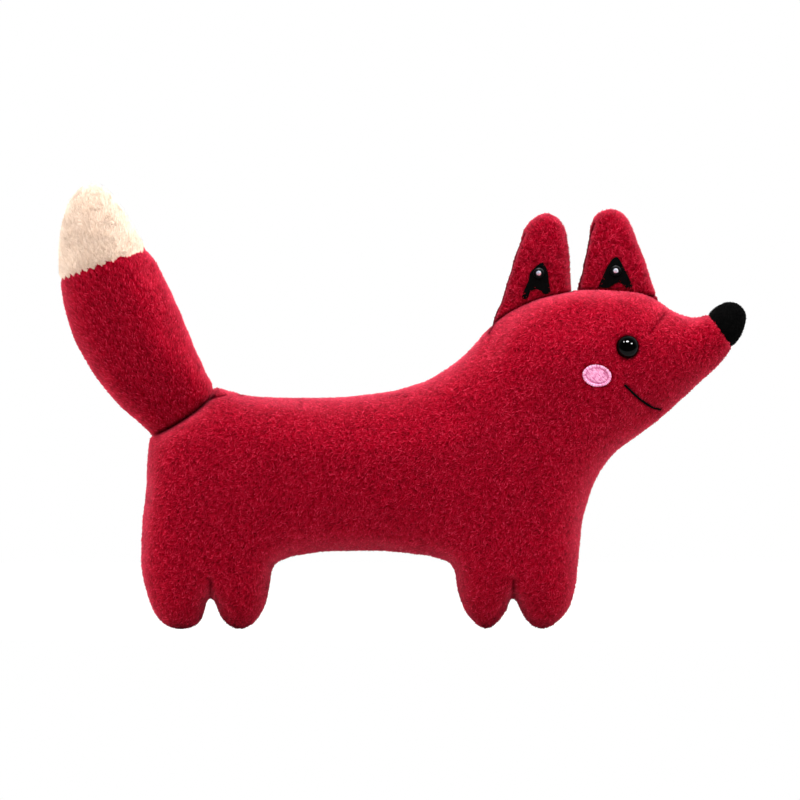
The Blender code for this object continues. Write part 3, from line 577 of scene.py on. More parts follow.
# depths: the most half depth that the form takes near a place, as (place, reach, half depth), in mm
earForm = {
    "cell": 0.6 * mm, "net": 1.2 * mm, "pileRoom": 0.8 * mm, "roundness": 0.7, "flatness": 3.0, "seamWidth": 0.8 * mm,
    "depths": (((95, 200), 60, 6.6),),
    "cloth": {"frames": 20, "stiffness": 15.0, "pressure": 2.0, "shrink": -0.01, "evened": 4, "most": 1 * mm}}
forms = {
    "body": ("body_skin", bodyOutline, {
        "cell": 1 * mm, "net": 2.4 * mm, "pileRoom": 0.8 * mm, "roundness": 0.98, "flatness": 2.6,
        "seamWidth": 1.2 * mm,
        "depths": (((-80, 85), 45, 43), ((0, 85), 45, 43), ((95, 140), 35, 43), ((140, 145), 22, 36),
                   ((172, 165), 16, 24), ((-105, 15), 26, 27), ((62, 15), 26, 27)),
        "cloth": {"frames": 20, "stiffness": 15.0, "pressure": 3.0, "shrink": -0.01, "evened": 14,
                  "most": 2.5 * mm}}),
    "tail": ("tail_skin", tailOutline, {
        "cell": 0.8 * mm, "net": 1.9 * mm, "pileRoom": 0.8 * mm, "roundness": 0.92, "flatness": 3.0,
        "seamWidth": 1.0 * mm,
        "depths": (((-150, 170), 40, 27), ((-165, 225), 25, 25), ((-122, 118), 12, 13.5)),
        "cloth": {"frames": 20, "stiffness": 15.0, "pressure": 3.0, "shrink": -0.01, "evened": 10, "most": 2 * mm}}),
    "ear_rear": ("ear_rear_skin", rearOutline, earForm), "ear_front": ("ear_front_skin", frontOutline, earForm)}
skins, fields = {}, {}
for home, form in forms.items():
    skins[home], fields[home] = makeForm(*form)
ears = ("ear_rear", "ear_front")


# Creases: the cloth is drawn in along each seam, dart and stitched line. All paths are in mm.

dartPath = [(144.2, 173.4), (140.4, 168.7), (135.5, 162.4)]
tailFoldPath = [(-107.2, 125.9), (-103.2, 127.2), (-99.6, 128.1), (-97.0, 128.6)]
tailCrease = [(-135.0, 107.3), (-127.8, 110.6), (-120.1, 115.0), (-112.4, 120.5), (-106.9, 125.4), (-103.1, 128.2)]
mouthPath = [(121.8, 133.9), (128.5, 127.6), (131.6, 125.3), (134.3, 123.4), (137.8, 121.6), (141.6, 120.7)]
frontFold = [(126.4, 182.6), (131.5, 182.0), (138.4, 183.2)]
noseSeam = [(168.2, 172.6), (181.0, 155.2)]
tipSeam = [(-190.3, 190.7), (-138.5, 209.4)]
earEdges = {
    "ear_rear": [
        (48.6, 165.5), (50.6, 170.6), (52.5, 175.5), (54.8, 180.2), (56.5, 185.7), (58.1, 191.1), (59.8, 196.6),
        (61.4, 202.1), (63.1, 207.6), (65.2, 212.7), (67.3, 217.2)],
    "ear_front": [
        (97.4, 187.5), (97.7, 191.0), (99.3, 196.4), (100.1, 201.9), (101.5, 207.4), (102.6, 212.9), (103.8, 218.2),
        (105.6, 222.9)]}
earFeet = {
    "ear_rear": [
        (47.5, 162.5), (51.5, 169.0), (59.0, 174.5), (67.5, 179.0), (77.5, 182.6), (88.0, 185.0), (93.5, 185.8)],
    "ear_front": [(96.5, 186.6), (105.0, 187.4), (115.0, 187.4), (125.0, 186.3), (133.5, 184.3), (140.5, 181.0)]}
eyeAt = (123.2, 155.1)
cheek = {"centre": (106.3, 139.2), "half": (8.15, 5.95), "turn": math.radians(-8)}


def drawIn(piece, *creases):  # each is a path with its depth and width in mm; without a path it is the seam all round
    points, normals = pointsOf(piece.data), readVectors(piece.data.vertices, "normal")
    x, y, z = points.T
    for path, depth, width in creases:
        away = np.abs(y) if path is None else distanceTo(smoothPath(path), x, z)
        points -= normals * (depth * mm * np.exp(-(away / (width * mm)) ** 2))[:, None]
    placePoints(piece.data, points)


drawIn(skins["body"], (dartPath, 1.1, 1.8), (tailFoldPath, 0.4, 1.0), (mouthPath, 0.8, 1.6), (noseSeam, 0.8, 1.4),
       ([(-105.3, 19.5), (-105.0, 28)], 1.8, 2.0), ([(60.8, 19.5), (60.9, 28)], 1.8, 2.0),
       ([eyeAt, (eyeAt[0] + 0.1, eyeAt[1])], 1.0, 7.0), (None, 0.7, 1.5))
drawIn(skins["tail"], (tipSeam, 0.4, 1.6), (None, 0.5, 1.3))
drawIn(skins["ear_rear"], (earEdges["ear_rear"], 0.9, 0.9))
drawIn(skins["ear_front"], (earEdges["ear_front"], 0.9, 0.9), (frontFold, 1.0, 1.2))


# Cutting the skin where two cloths meet

def cutAcross(piece, name, path, wave):  # parts the piece past a line along a wave, and closes both parts
    start, end = (np.array(p) * mm for p in path)
    line = (end - start) / np.linalg.norm(end - start)
    across = np.array([-line[1], line[0]])
    middle = (start + end) / 2

    def ripple(mesh, way):
        points = pointsOf(mesh)
        flat = points[:, [0, 2]] - middle
        along, off = flat @ line, flat @ across
        girth = along + 0.9 * np.abs(points[:, 1])
        shift = wave["height"] * np.sin(2 * math.pi * girth / wave["length"]) * np.exp(-(off / wave["reach"]) ** 2)
        points[:, [0, 2]] += way * shift[:, None] * across
        placePoints(mesh, points)

    ripple(piece.data, 1)
    parts = []
    for keep in (False, True):
        work = bmesh.new()
        work.from_mesh(piece.data)
        cut = bmesh.ops.bisect_plane(
            work, geom=work.verts[:] + work.edges[:] + work.faces[:], plane_co=(middle[0], 0, middle[1]),
            plane_no=(across[0], 0, across[1]), clear_inner=keep, clear_outer=not keep)
        rim = [e for e in cut["geom_cut"] if isinstance(e, bmesh.types.BMEdge)]
        filled = bmesh.ops.holes_fill(work, edges=rim)
        closing = bmesh.ops.triangulate(work, faces=filled["faces"])["faces"]
        for face in work.faces:
            face.smooth = True
        for face in closing:  # flat, so that the light on the cloth doesn't bend round the cut; no pile grows on it
            face.smooth = False
        mesh = bpy.data.meshes.new(name if keep else piece.name)
        work.to_mesh(mesh)
        work.free()
        ripple(mesh, -1)
        parts.append(mesh)
    piece.data = parts[0]
    return objectOf(name, parts[1])


skins["nose"] = cutAcross(skins["body"], "nose_skin", noseSeam, {
    "height": 0.25 * mm, "length": 3.2 * mm, "reach": 4 * mm})
skins["tip"] = cutAcross(skins["tail"], "tail_tip_skin", tipSeam, {
    "height": 0.9 * mm, "length": 5.6 * mm, "reach": 6 * mm})
say("nose and tail tip cut")


# Where the pile grows, how tall it stands and how it is shaded

def falloff(distance, width):  # 1 on a line, falling softly to 0 beside it
    return np.exp(-(distance / width) ** 2)


def setAttribute(mesh, name, values):
    attribute = mesh.attributes.get(name) or mesh.attributes.new(name, "FLOAT", "POINT")
    attribute.data.foreach_set("value", np.asarray(values, np.float32))


def rimLightAt(mesh, power):  # the share of painted rim light: 0 on the flat of the side, 1 at the edge, and less on the underside than on top
    normals = readVectors(mesh.vertices, "normal")
    share = np.clip((1 - np.abs(normals[:, 1]) - 0.05) / 0.9, 0, 1) ** power
    return share * (0.75 + 0.25 * normals[:, 2])


def cheekShare(x, z):  # 1 on the cheek's edge, less inside
    x, z = x - cheek["centre"][0] * mm, z - cheek["centre"][1] * mm
    c, s = math.cos(cheek["turn"]), math.sin(cheek["turn"])
    return np.hypot((x * c + z * s) / (cheek["half"][0] * mm), (-x * s + z * c) / (cheek["half"][1] * mm))


def fromEye(x, z):  # in mm
    return np.hypot(x - eyeAt[0] * mm, z - eyeAt[1] * mm) / mm


# painted shade along each crease: a path with its width in mm and how dark it gets
tailShade = (tailCrease, 1.1, 0.95)
rearShade, frontShade = (earFeet["ear_rear"], 0.8, 0.85), (earFeet["ear_front"], 0.7, 0.75)
creases = {
    "body": [
        (dartPath, 0.8, 0.6), (tailFoldPath, 0.6, 0.7), tailShade, rearShade, frontShade, (mouthPath, 1.0, 0.5),
        ([(-105.3, 16), (-105.0, 27)], 0.8, 0.7), ([(60.8, 16), (60.9, 27)], 0.8, 0.7)],
    "tail": [tailShade], "ear_rear": [rearShade, (earEdges["ear_rear"], 0.5, 0.8)],
    "ear_front": [frontShade, (earEdges["ear_front"], 0.5, 0.8), (frontFold, 0.7, 0.75)], "nose": [], "tip": []}
# painted shade round the eye, in mm from its middle, and round the cheek, in shares of its oval: the place, the width
# and how dark
eyeShade, cheekShade = (6.2, 0.8, 0.6), (1, 0.12, 0.5)
earShade = 0.85  # painted shade: the ears' colour is darkened all over, as their pile lies away from the light


def shadeAt(points, home):  # painted shade: 1 on open cloth, less where the pile is drawn into a crease, round the eye and the cheek, and on the ears
    x, _, z = points.T
    shade = np.ones(len(points))
    for path, width, dark in creases[home]:
        shade *= 1 - dark * falloff(distanceTo(smoothPath(path), x, z) / mm, width)
    if home in ears:
        shade *= earShade
    if home == "body":
        for distance, (place, width, dark) in ((fromEye(x, z), eyeShade), (cheekShare(x, z), cheekShade)):
            shade *= 1 - dark * falloff(distance - place, width)
    return shade


patches = {
    "ear_rear": [
        (76.1, 201.3), (70.3, 195.9), (69.3, 191.8), (65.7, 182.7), (67.4, 181.3), (69.4, 182.5),
        (69.8, 184.8), (72.4, 186.6), (76.1, 186.1), (77.0, 184.8), (78.8, 184.0), (81.1, 185.0),
        (81.2, 186.8), (80.4, 191.7), (80.0, 195.9), (78.6, 199.5)],
    "ear_front": [
        (117.9, 204.4), (113.5, 200.8), (107.9, 188.7), (108.5, 187.8), (113.0, 187.6), (118.6, 190.4),
        (123.4, 187.2), (125.1, 187.4), (126.3, 188.7), (121.6, 198.6)]}


# the bare strip's half width in mm, and how much shorter the pile beside it is
bareLines = ((dartPath, 0.2, 0.7), (tailFoldPath, 0.2, 0.7), (mouthPath, 0.55, 0.45), (tailCrease, 0.2, 0.7),
             (earFeet["ear_rear"], 0.2, 0.7), (earFeet["ear_front"], 0.2, 0.7))
# where the pile starts and how far it stands shorter: in mm beside a line and from the eye's middle, at the cheek in
# shares of its oval; under the paws it is worn thin
beside = {
    "line": {"soft": 0.5, "reach": 1.4}, "eye": {"bare": 6.1, "rim": 6, "reach": 2.0, "shorter": 0.55},
    "cheek": {"bare": 0.98, "steep": 12}, "floor": {"height": 0.5 * mm, "left": 0.3},
    "felt": {"soft": 0.5 * mm, "start": 0.15}, "tip seam": {"reach": 2 * mm, "shorter": 0.35},
    "ear edge": {"soft": 0.4 * mm, "bare": 0.4, "reach": 1.1 * mm, "shorter": 0.7}}
# the pile ends inside the cloth that a skin is sewn to, over this much of that form's squared depth, in m2
inOther = {
    "body": {"tail": 6e-6, "ear_rear": 4e-6, "ear_front": 4e-6}, "nose": {}, "tail": {"body": 3e-5}, "tip": {},
    "ear_rear": {"body": 3e-5}, "ear_front": {"body": 3e-5}}
# along the seam round the edge: how much shorter the pile is, its reach, and how late the painted rim light starts
# towards the edge
edging = {
    "body": (0.35, 1.2 * mm, 1.7), "nose": (0.35, 1.6 * mm, 1.7), "tail": (0.35, 1.6 * mm, 1.7),
    "tip": (0.35, 1.6 * mm, 1.7), "ear_rear": (0.45, 1.6 * mm, 0.8), "ear_front": (0.45, 1.6 * mm, 0.8)}


def markBody(grows, tall, x, z):
    line, eye, oval = beside["line"], beside["eye"], beside["cheek"]
    for path, width, shorter in bareLines:
        away = distanceTo(smoothPath(path), x, z) / mm
        grows *= np.clip((away - width) / line["soft"], 0, 1)
        tall *= 1 - shorter * falloff(away, line["reach"])
    grows *= np.clip(fromEye(x, z) - eye["bare"], 0, 1)
    tall *= 1 - eye["shorter"] * falloff(fromEye(x, z) - eye["rim"], eye["reach"])
    grows *= np.clip((cheekShare(x, z) - oval["bare"]) * oval["steep"], 0, 1)


def markEar(home, grows, tall, x, z):  # bare under the felt and along the edge seam
    felt, edge = beside["felt"], beside["ear edge"]
    grows *= np.clip(-insetFrom(smoothPath(patches[home], True), x, z) / felt["soft"] + felt["start"], 0, 1)
    away = distanceTo(smoothPath(earEdges[home]), x, z)
    if home == "ear_front":
        away = np.minimum(away, distanceTo(smoothPath(frontFold), x, z))
    grows *= np.clip(away / edge["soft"] - edge["bare"], 0, 1)
    tall *= 1 - edge["shorter"] * falloff(away, edge["reach"])


for home, skin in skins.items():
    points = pointsOf(skin.data)
    x, y, z = points.T
    grows, tall = np.ones(len(points)), np.ones(len(points))
    if home == "body":
        markBody(grows, tall, x, z)
    for other, depth in inOther[home].items():
        grows *= 1 - np.clip(within(fields[other], points) / depth, 0, 1)
    if home in ears:
        markEar(home, grows, tall, x, z)
    if home in ("tail", "tip"):
        seam = beside["tip seam"]
        tall *= 1 - seam["shorter"] * falloff(distanceTo(np.array(tipSeam) * mm, x, z), seam["reach"])
    grows *= np.where(z < beside["floor"]["height"], beside["floor"]["left"], 1)
    shorter, reach, power = edging[home]
    tall *= 1 - shorter * falloff(y, reach)
    # shade is painted shade, and curve is the share of painted rim light
    marks = {"grows": grows, "tall": tall, "shade": shadeAt(points, home), "curve": rimLightAt(skin.data, power)}
    for word, values in marks.items():
        setAttribute(skin.data, word, values)


# Pile: Geometry Nodes scatter short tufts over the skin, lying over in a nap that wanders

def startTree(name, inputs):  # an empty tree with its named inputs, and the function that adds nodes to it
    tree = bpy.data.node_groups.new(name, "GeometryNodeTree")
    tree.interface.new_socket(name="Geometry", in_out="OUTPUT", socket_type="NodeSocketGeometry")
    for title, (kind, value) in inputs.items():
        socket = tree.interface.new_socket(name=title, in_out="INPUT", socket_type="NodeSocket" + kind)
        if value is not None:
            socket.default_value = value
    add = partial(addNode, tree)
    return tree, add, add("NodeGroupInput").outputs


def endTree(add, many, tone, material):  # each copy gets its own tone, and all become plain mesh
    toned = add("GeometryNodeStoreNamedAttribute", {"Geometry": many, "Name": "tone", "Value": tone},
                data_type="FLOAT", domain="INSTANCE")
    smooth = add("GeometryNodeSetShadeSmooth", {0: add("GeometryNodeRealizeInstances", {0: toned})})
    add("NodeGroupOutput", {0: add("GeometryNodeSetMaterial", {"Geometry": smooth, "Material": material})})


def makePileTree():
    tree, add, given = startTree("Pile", {
        "Skin": ("Geometry", None), "Tufts per m2": ("Float", 1e6), "Length": ("Float", 2 * mm),
        "Width": ("Float", 0.5 * mm), "Lean": ("Float", 0.8), "Nap": ("Vector", (0, 0, -1)),
        "Wander": ("Float", 1.0), "Wander Size": ("Float", 6 * mm), "Clump": ("Float", 0.0),
        "Clump Size": ("Float", 4 * mm), "Ruffle": ("Float", 0.2), "Mottle": ("Float", 1.45),
        "Mottle Size": ("Float", 0.88 * mm), "Seed": ("Int", 1), "Material": ("Material", None)})
    seed = given["Seed"]
    grows, tall, curve = (add("GeometryNodeInputNamedAttribute", {"Name": word}, data_type="FLOAT")
                          for word in ("grows", "tall", "curve"))
    density = add("ShaderNodeMath", {0: grows, 1: given["Tufts per m2"]}, operation="MULTIPLY")
    scatter = add("GeometryNodeDistributePointsOnFaces", {"Mesh": given["Skin"], "Density": density, "Seed": seed},
                  distribute_method="RANDOM")
    normal = scatter.outputs["Normal"]
    place = add("GeometryNodeInputPosition")

    def wandering(size, shift, strength):  # a soft noise about zero
        scale = add("ShaderNodeMath", {0: 1.0, 1: size}, operation="DIVIDE")
        moved = add("ShaderNodeVectorMath", {0: place, 1: (shift, shift * 2, 0)}, operation="ADD")
        noise = add("ShaderNodeTexNoise", {"Vector": moved, "Scale": scale, "Detail": 1.0}).outputs["Color"]
        centred = add("ShaderNodeVectorMath", {0: noise, 1: (0.5, 0.5, 0.5)}, operation="SUBTRACT")
        return add("ShaderNodeVectorMath", {0: centred, "Scale": strength}, operation="SCALE")

    # the way a tuft lies: the nap, two sizes of wandering and its own whim, flattened onto the cloth
    own = add("FunctionNodeRandomValue", {0: (-0.5, -0.5, -0.5), 1: (0.5, 0.5, 0.5), "Seed": seed},
              data_type="FLOAT_VECTOR")
    push = given["Nap"]
    for part in (wandering(given["Wander Size"], 3.1, given["Wander"]),
                 wandering(given["Clump Size"], 7.7, given["Clump"]), own):
        push = add("ShaderNodeVectorMath", {0: push, 1: part}, operation="ADD")
    upward = add("ShaderNodeVectorMath", {0: push, 1: normal}, operation="DOT_PRODUCT")
    upward = add("ShaderNodeVectorMath", {0: normal, "Scale": upward}, operation="SCALE")
    flat = add("ShaderNodeVectorMath", {0: push, 1: upward}, operation="SUBTRACT")
    flat = add("ShaderNodeVectorMath", {0: flat}, operation="NORMALIZE")
    leaning = add("FunctionNodeRandomValue", {2: 0.82, 3: 1.15, "Seed": seed}, data_type="FLOAT")
    angle = add("ShaderNodeMath", {0: given["Lean"], 1: leaning}, operation="MULTIPLY")
    side, up = (add("ShaderNodeVectorMath", {0: way, "Scale": add("ShaderNodeMath", {0: angle}, operation=share)},
                    operation="SCALE") for way, share in ((flat, "SINE"), (normal, "COSINE")))
    heading = add("ShaderNodeVectorMath", {0: side, 1: up}, operation="ADD")
    aligned = add("FunctionNodeAlignRotationToVector", {"Vector": heading}, axis="Z")
    spin = add("FunctionNodeRandomValue", {2: 0.0, 3: 6.283, "Seed": seed}, data_type="FLOAT")
    twist = add("FunctionNodeEulerToRotation", {0: add("ShaderNodeCombineXYZ", {"Z": spin})})
    turn = add("FunctionNodeRotateRotation", {0: aligned, 1: twist}, rotation_space="LOCAL")

    # a tuft: a three-sided spike that knows how far along it each point is
    lengthSeed, toneSeed = (add("ShaderNodeMath", {0: seed, 1: shift}, operation="ADD") for shift in (11.0, 23.0))
    length = add("FunctionNodeRandomValue", {2: 0.65, 3: 1.25, "Seed": lengthSeed}, data_type="FLOAT")
    for share in (given["Length"], tall):
        length = add("ShaderNodeMath", {0: length, 1: share}, operation="MULTIPLY")
    size = add("ShaderNodeCombineXYZ", {"X": given["Width"], "Y": given["Width"], "Z": length})
    cone = add("GeometryNodeMeshCone", {"Vertices": 3, "Side Segments": 1, "Fill Segments": 1, "Radius Top": 0.0,
                                        "Radius Bottom": 0.58, "Depth": 1.0}, fill_type="NGON")
    height = add("ShaderNodeSeparateXYZ", {0: place}).outputs["Z"]
    tuft = add("GeometryNodeStoreNamedAttribute", {"Geometry": cone, "Name": "along", "Value": height},
               data_type="FLOAT", domain="POINT")
    sunk = add("GeometryNodeTransform", {"Geometry": tuft, "Translation": (0, 0, -0.08)})
    many = add("GeometryNodeInstanceOnPoints", {"Points": scatter, "Instance": sunk, "Rotation": turn, "Scale": size})

    # the way it is lit: as the cloth under it, ruffled in small patches that calm down towards the edge
    calm = add("ShaderNodeMapRange", {"Value": curve, "From Max": 0.7, "To Min": 1.0, "To Max": 0.25})
    unrest = add("ShaderNodeMath", {0: calm, 1: given["Mottle"]}, operation="MULTIPLY")
    ruffle = add("ShaderNodeVectorMath", {0: heading, "Scale": given["Ruffle"]}, operation="SCALE")
    lie = normal
    for part in (ruffle, wandering(given["Mottle Size"], 5.3, unrest)):
        lie = add("ShaderNodeVectorMath", {0: lie, 1: part}, operation="ADD")
    lie = add("ShaderNodeVectorMath", {0: lie}, operation="NORMALIZE")
    many = add("GeometryNodeStoreNamedAttribute", {"Geometry": many, "Name": "lie", "Value": lie},
               data_type="FLOAT_VECTOR", domain="INSTANCE")
    ownTone = add("FunctionNodeRandomValue", {2: 0.0, 3: 1.0, "Seed": toneSeed}, data_type="FLOAT")
    scale = add("ShaderNodeMath", {0: 1.0, 1: given["Mottle Size"]}, operation="DIVIDE")
    patch = add("ShaderNodeTexNoise", {"Vector": place, "Scale": scale, "Detail": 1.0})
    patch = add("ShaderNodeMapRange", {"Value": patch, "From Min": 0.3, "From Max": 0.7})
    tone = add("ShaderNodeMix", {0: 0.48, 2: ownTone, 3: patch}, data_type="FLOAT")
    endTree(add, many, tone, given["Material"])
    return tree


def runTree(name, source, tree, values):  # the tree's result as a plain mesh; the source goes
    modifier = source.modifiers.new("Grow", "NODES")
    modifier.node_group = tree
    for item in tree.interface.items_tree:
        if item.in_out == "INPUT" and item.name in values:
            modifier[item.identifier] = values[item.name]
    evaluated = source.evaluated_get(bpy.context.evaluated_depsgraph_get())
    mesh = bpy.data.meshes.new_from_object(evaluated)
    bpy.data.objects.remove(source)
    mesh.name = name
    mesh.materials.clear()
    mesh.materials.append(values["Material"])
    mesh.polygons.foreach_set("material_index", np.zeros(len(mesh.polygons), np.int32))
    return objectOf(name, mesh)


def partOf(source, chosen):  # a copy of some of the faces
    work = bmesh.new()
    work.from_mesh(source.data)
    bmesh.ops.delete(work, geom=[f for f, keep in zip(work.faces[:], chosen) if not keep], context="FACES")
    copy = source.data.copy()
    work.to_mesh(copy)
    work.free()
    return objectOf("source", copy)


def softShade(mesh, share):  # tufts are lit as the cloth under them, so that the pile looks like one soft surface
    corners, faces = len(mesh.loops), len(mesh.polygons)
    vertex = np.empty(corners, np.int32)
    mesh.loops.foreach_get("vertex_index", vertex)
    lie = readVectors(mesh.attributes["lie"].data, "vector")
    own = np.repeat(readVectors(mesh.polygons, "normal"), corners // faces, axis=0)
    mixed = share * lie[vertex] + (1 - share) * own
    mixed /= np.linalg.norm(mixed, axis=1)[:, None] + 1e-9
    mesh.normals_split_custom_set(mixed.tolist())
    mesh.attributes.remove(mesh.attributes["lie"])


def tuftMap(mesh, faces):  # each tuft has its own small square on a map made for baking its colour
    tufts = len(mesh.polygons) // faces
    across = math.ceil(math.sqrt(max(tufts, 1)))
    number, corner = np.divmod(np.arange(len(mesh.loops)), len(mesh.loops) // max(tufts, 1))
    u = (number % across + np.array([0.12, 0.88, 0.5])[corner % 3]) / across
    v = (number // across + np.array([0.12, 0.12, 0.88])[corner % 3]) / across
    mesh.uv_layers.new(name="OFBake").uv.foreach_set("vector", np.stack([u, v], 1).astype(np.float32).ravel())


facesPerTuft = 4
clothShare = 0.72  # how far a tuft is lit as the cloth under it, and not by its own sides


def growPile(name, home, look, chosen):
    skin = skins[home]
    outer = np.empty(len(skin.data.polygons), bool)
    skin.data.polygons.foreach_get("use_smooth", outer)
    if chosen:
        outer &= chosen(readVectors(skin.data.polygons, "center"))
    pile = runTree(name, partOf(skin, outer), pileTree, look)
    softShade(pile.data, clothShare)
    # painted shade on the tufts, as on the skin under them
    setAttribute(pile.data, "shade", shadeAt(pointsOf(pile.data), home))
    tuftMap(pile.data, facesPerTuft)
    say("%s has %d tufts" % (name, len(pile.data.polygons) // facesPerTuft))
    return pile


# the tufts are drawn several times as thick as real fibres, to show as the clumps that the cloth's grain comes from
bodyPile = {
    "Tufts per m2": 1.7e6, "Length": 2.0 * mm, "Width": 0.95 * mm, "Lean": 1.1, "Nap": (-0.25, 0.0, -0.35),
    "Wander": 2.4, "Wander Size": 5 * mm, "Clump": 1.5, "Clump Size": 2.2 * mm, "Seed": 3, "Material": redPile}
nosePile = dict(bodyPile, **{
    "Tufts per m2": 2.2e6, "Length": 1.3 * mm, "Width": 0.45 * mm, "Seed": 9, "Material": blackPile})
tailPile = dict(bodyPile, **{"Nap": (-0.4, 0.0, 0.9), "Wander": 2.0, "Seed": 5})
tipPile = dict(bodyPile, **{
    "Tufts per m2": 2.0e6, "Nap": (-0.3, 0.0, 0.8), "Length": 2.4 * mm, "Width": 0.6 * mm, "Lean": 1.0,
    "Clump": 0.6, "Seed": 7, "Material": creamPile})
earPile = dict(bodyPile, **{
    "Tufts per m2": 2.0e6, "Length": 2.1 * mm, "Nap": (0.0, 0.0, 0.3), "Clump": 3.0, "Clump Size": 3.5 * mm,
    "Lean": 1.02, "Mottle": 2.5, "Mottle Size": 1.25 * mm, "Seed": 11})
grounds = {"body": redGround, "tail": redGround, "ear_rear": redGround, "ear_front": redGround, "nose": blackGround,
           "tip": creamGround}
for home, ground in grounds.items():
    skins[home].data.materials.clear()
    skins[home].data.materials.append(ground)

pileTree = makePileTree()
piles = {
    "torso_pile_right": ("body", bodyPile, lambda c: (c[:, 1] < 0) & (c[:, 0] < 0)),
    "torso_pile_left": ("body", bodyPile, lambda c: (c[:, 1] >= 0) & (c[:, 0] < 0)),
    "head_pile_right": ("body", bodyPile, lambda c: (c[:, 1] < 0) & (c[:, 0] >= 0)),
    "head_pile_left": ("body", bodyPile, lambda c: (c[:, 1] >= 0) & (c[:, 0] >= 0)),
    "nose_pile": ("nose", nosePile, None), "tail_pile": ("tail", tailPile, None),
    "tail_tip_pile": ("tip", tipPile, None), "ear_rear_pile": ("ear_rear", earPile, None),
    "ear_front_pile": ("ear_front", earPile, None)}
grown = {name: growPile(name, *details) for name, details in piles.items()}


# Small parts: eyes, ear patches and beads, cheeks and mouth

def surfaceTree(home):
    mesh = skins[home].data
    return BVHTree.FromPolygons([v.co for v in mesh.vertices], [tuple(p.vertices) for p in mesh.polygons])


def surfaceAt(tree, x, z, side):  # the cloth's place and outward direction at a point of the side view, in m
    hit, normal, _, _ = tree.ray_cast(Vector((x, side * 0.2, z)), Vector((0, -side, 0)))
    return hit, -normal if normal.y * side < 0 else normal


surfaces = {home: surfaceTree(home) for home in ("body",) + ears}


def turnTo(direction):  # the turn that brings Z to a direction
    z = Vector(direction).normalized()
    x = Vector((0, 0, 1)).cross(z).normalized()
    return Matrix((x, z.cross(x), z)).transposed().to_4x4()


def fixOutside(piece):
    work = bmesh.new()
    work.from_mesh(piece.data)
    bmesh.ops.recalc_face_normals(work, faces=work.faces)
    work.to_mesh(piece.data)
    work.free()


def lathe(name, look, place, direction):  # closed solid of revolution, its profile from pole to pole in mm
    profile, segments = look["profile"], look["segments"]
    points, faces = [(0, 0, profile[0][1] * mm)], []
    for r, h in profile[1:-1]:
        for k in range(segments):
            angle = 2 * math.pi * k / segments
            points.append((r * mm * math.cos(angle), r * mm * math.sin(angle), h * mm))
    points.append((0, 0, profile[-1][1] * mm))
    last = len(points) - 1 - segments
    for k in range(segments):
        after = (k + 1) % segments
        faces.append((0, 1 + k, 1 + after))
        for a in range(1, last, segments):
            b = a + segments
            faces.append((a + k, b + k, b + after, a + after))
        faces.append((last + after, last + k, len(points) - 1))
    piece = meshObject(name, points, faces, look["material"])
    piece.data.transform(Matrix.Translation(place) @ turnTo(direction))
    fixOutside(piece)
    return piece


eye = {
    "material": eyePlastic, "segments": 48, "outward": 3.0, "lift": 1.3 * mm, "settle": 2.4 * mm, "widen": 1.05,
    "profile": [(0, 4.6), (0.8, 4.56), (1.6, 4.42), (2.4, 4.18), (3.2, 3.82), (4.0, 3.3), (4.7, 2.66), (5.3, 1.9),
                (5.7, 1.15), (6.0, 0.45), (6.05, 0.0), (6.0, -0.8), (5.6, -1.6), (3, -1.8), (0, -1.8)]}
eye["profile"] = [(r * eye["widen"], h) for r, h in eye["profile"]]
for word, side in sides:
    hit, normal = surfaceAt(surfaces["body"], eyeAt[0] * mm, eyeAt[1] * mm, side)
    facing = (normal + Vector((0, side, 0)) * eye["outward"]).normalized()
    base = hit + facing * eye["lift"] - Vector((facing.x, 0, facing.z)) * eye["settle"]
    dome = lathe("eye_" + word + "_dome", eye, base, facing)
    smoothShade(dome)
    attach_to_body(dome, "body")
    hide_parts("eye_" + word)
    for slotted in bpy.data.objects["eye_washer_" + word].material_slots:
        slotted.material = whitePlastic
say("eyes set")


def slab(name, outline, tree, side, look):  # a thin sheet laid on the cloth, its outline in mm
    spacing = look["spacing"]
    loop = smoothPath(outline, True, spacing)
    gx, gz = (v.ravel() for v in np.meshgrid(*gridOver(loop, 0, spacing)))
    keep = insetFrom(loop, gx, gz) > 0.5 * spacing
    flat = [Vector(p) for p in loop] + [Vector(p) for p in zip(gx[keep], gz[keep])]
    made = geometry.delaunay_2d_cdt(flat, [], [list(range(len(loop)))], 1, 1e-7)
    points, faces = made[0], made[2]
    under = [surfaceAt(tree, p.x, p.y, side)[0] for p in points]
    tops, bottoms = ([hit + Vector((0, side * look[word], 0)) for hit in under] for word in ("top", "bottom"))
    count = len(points)
    borders = [edge for f in faces for edge in zip(f, list(f[1:]) + [f[0]])]
    known = set(borders)
    closed = [tuple(f) for f in faces] + [tuple(count + i for i in reversed(f)) for f in faces]
    closed += [(b, a, count + a, count + b) for a, b in borders if (b, a) not in known]
    piece = meshObject(name, tops + bottoms, closed, look["material"])
    fixOutside(piece)
    return piece


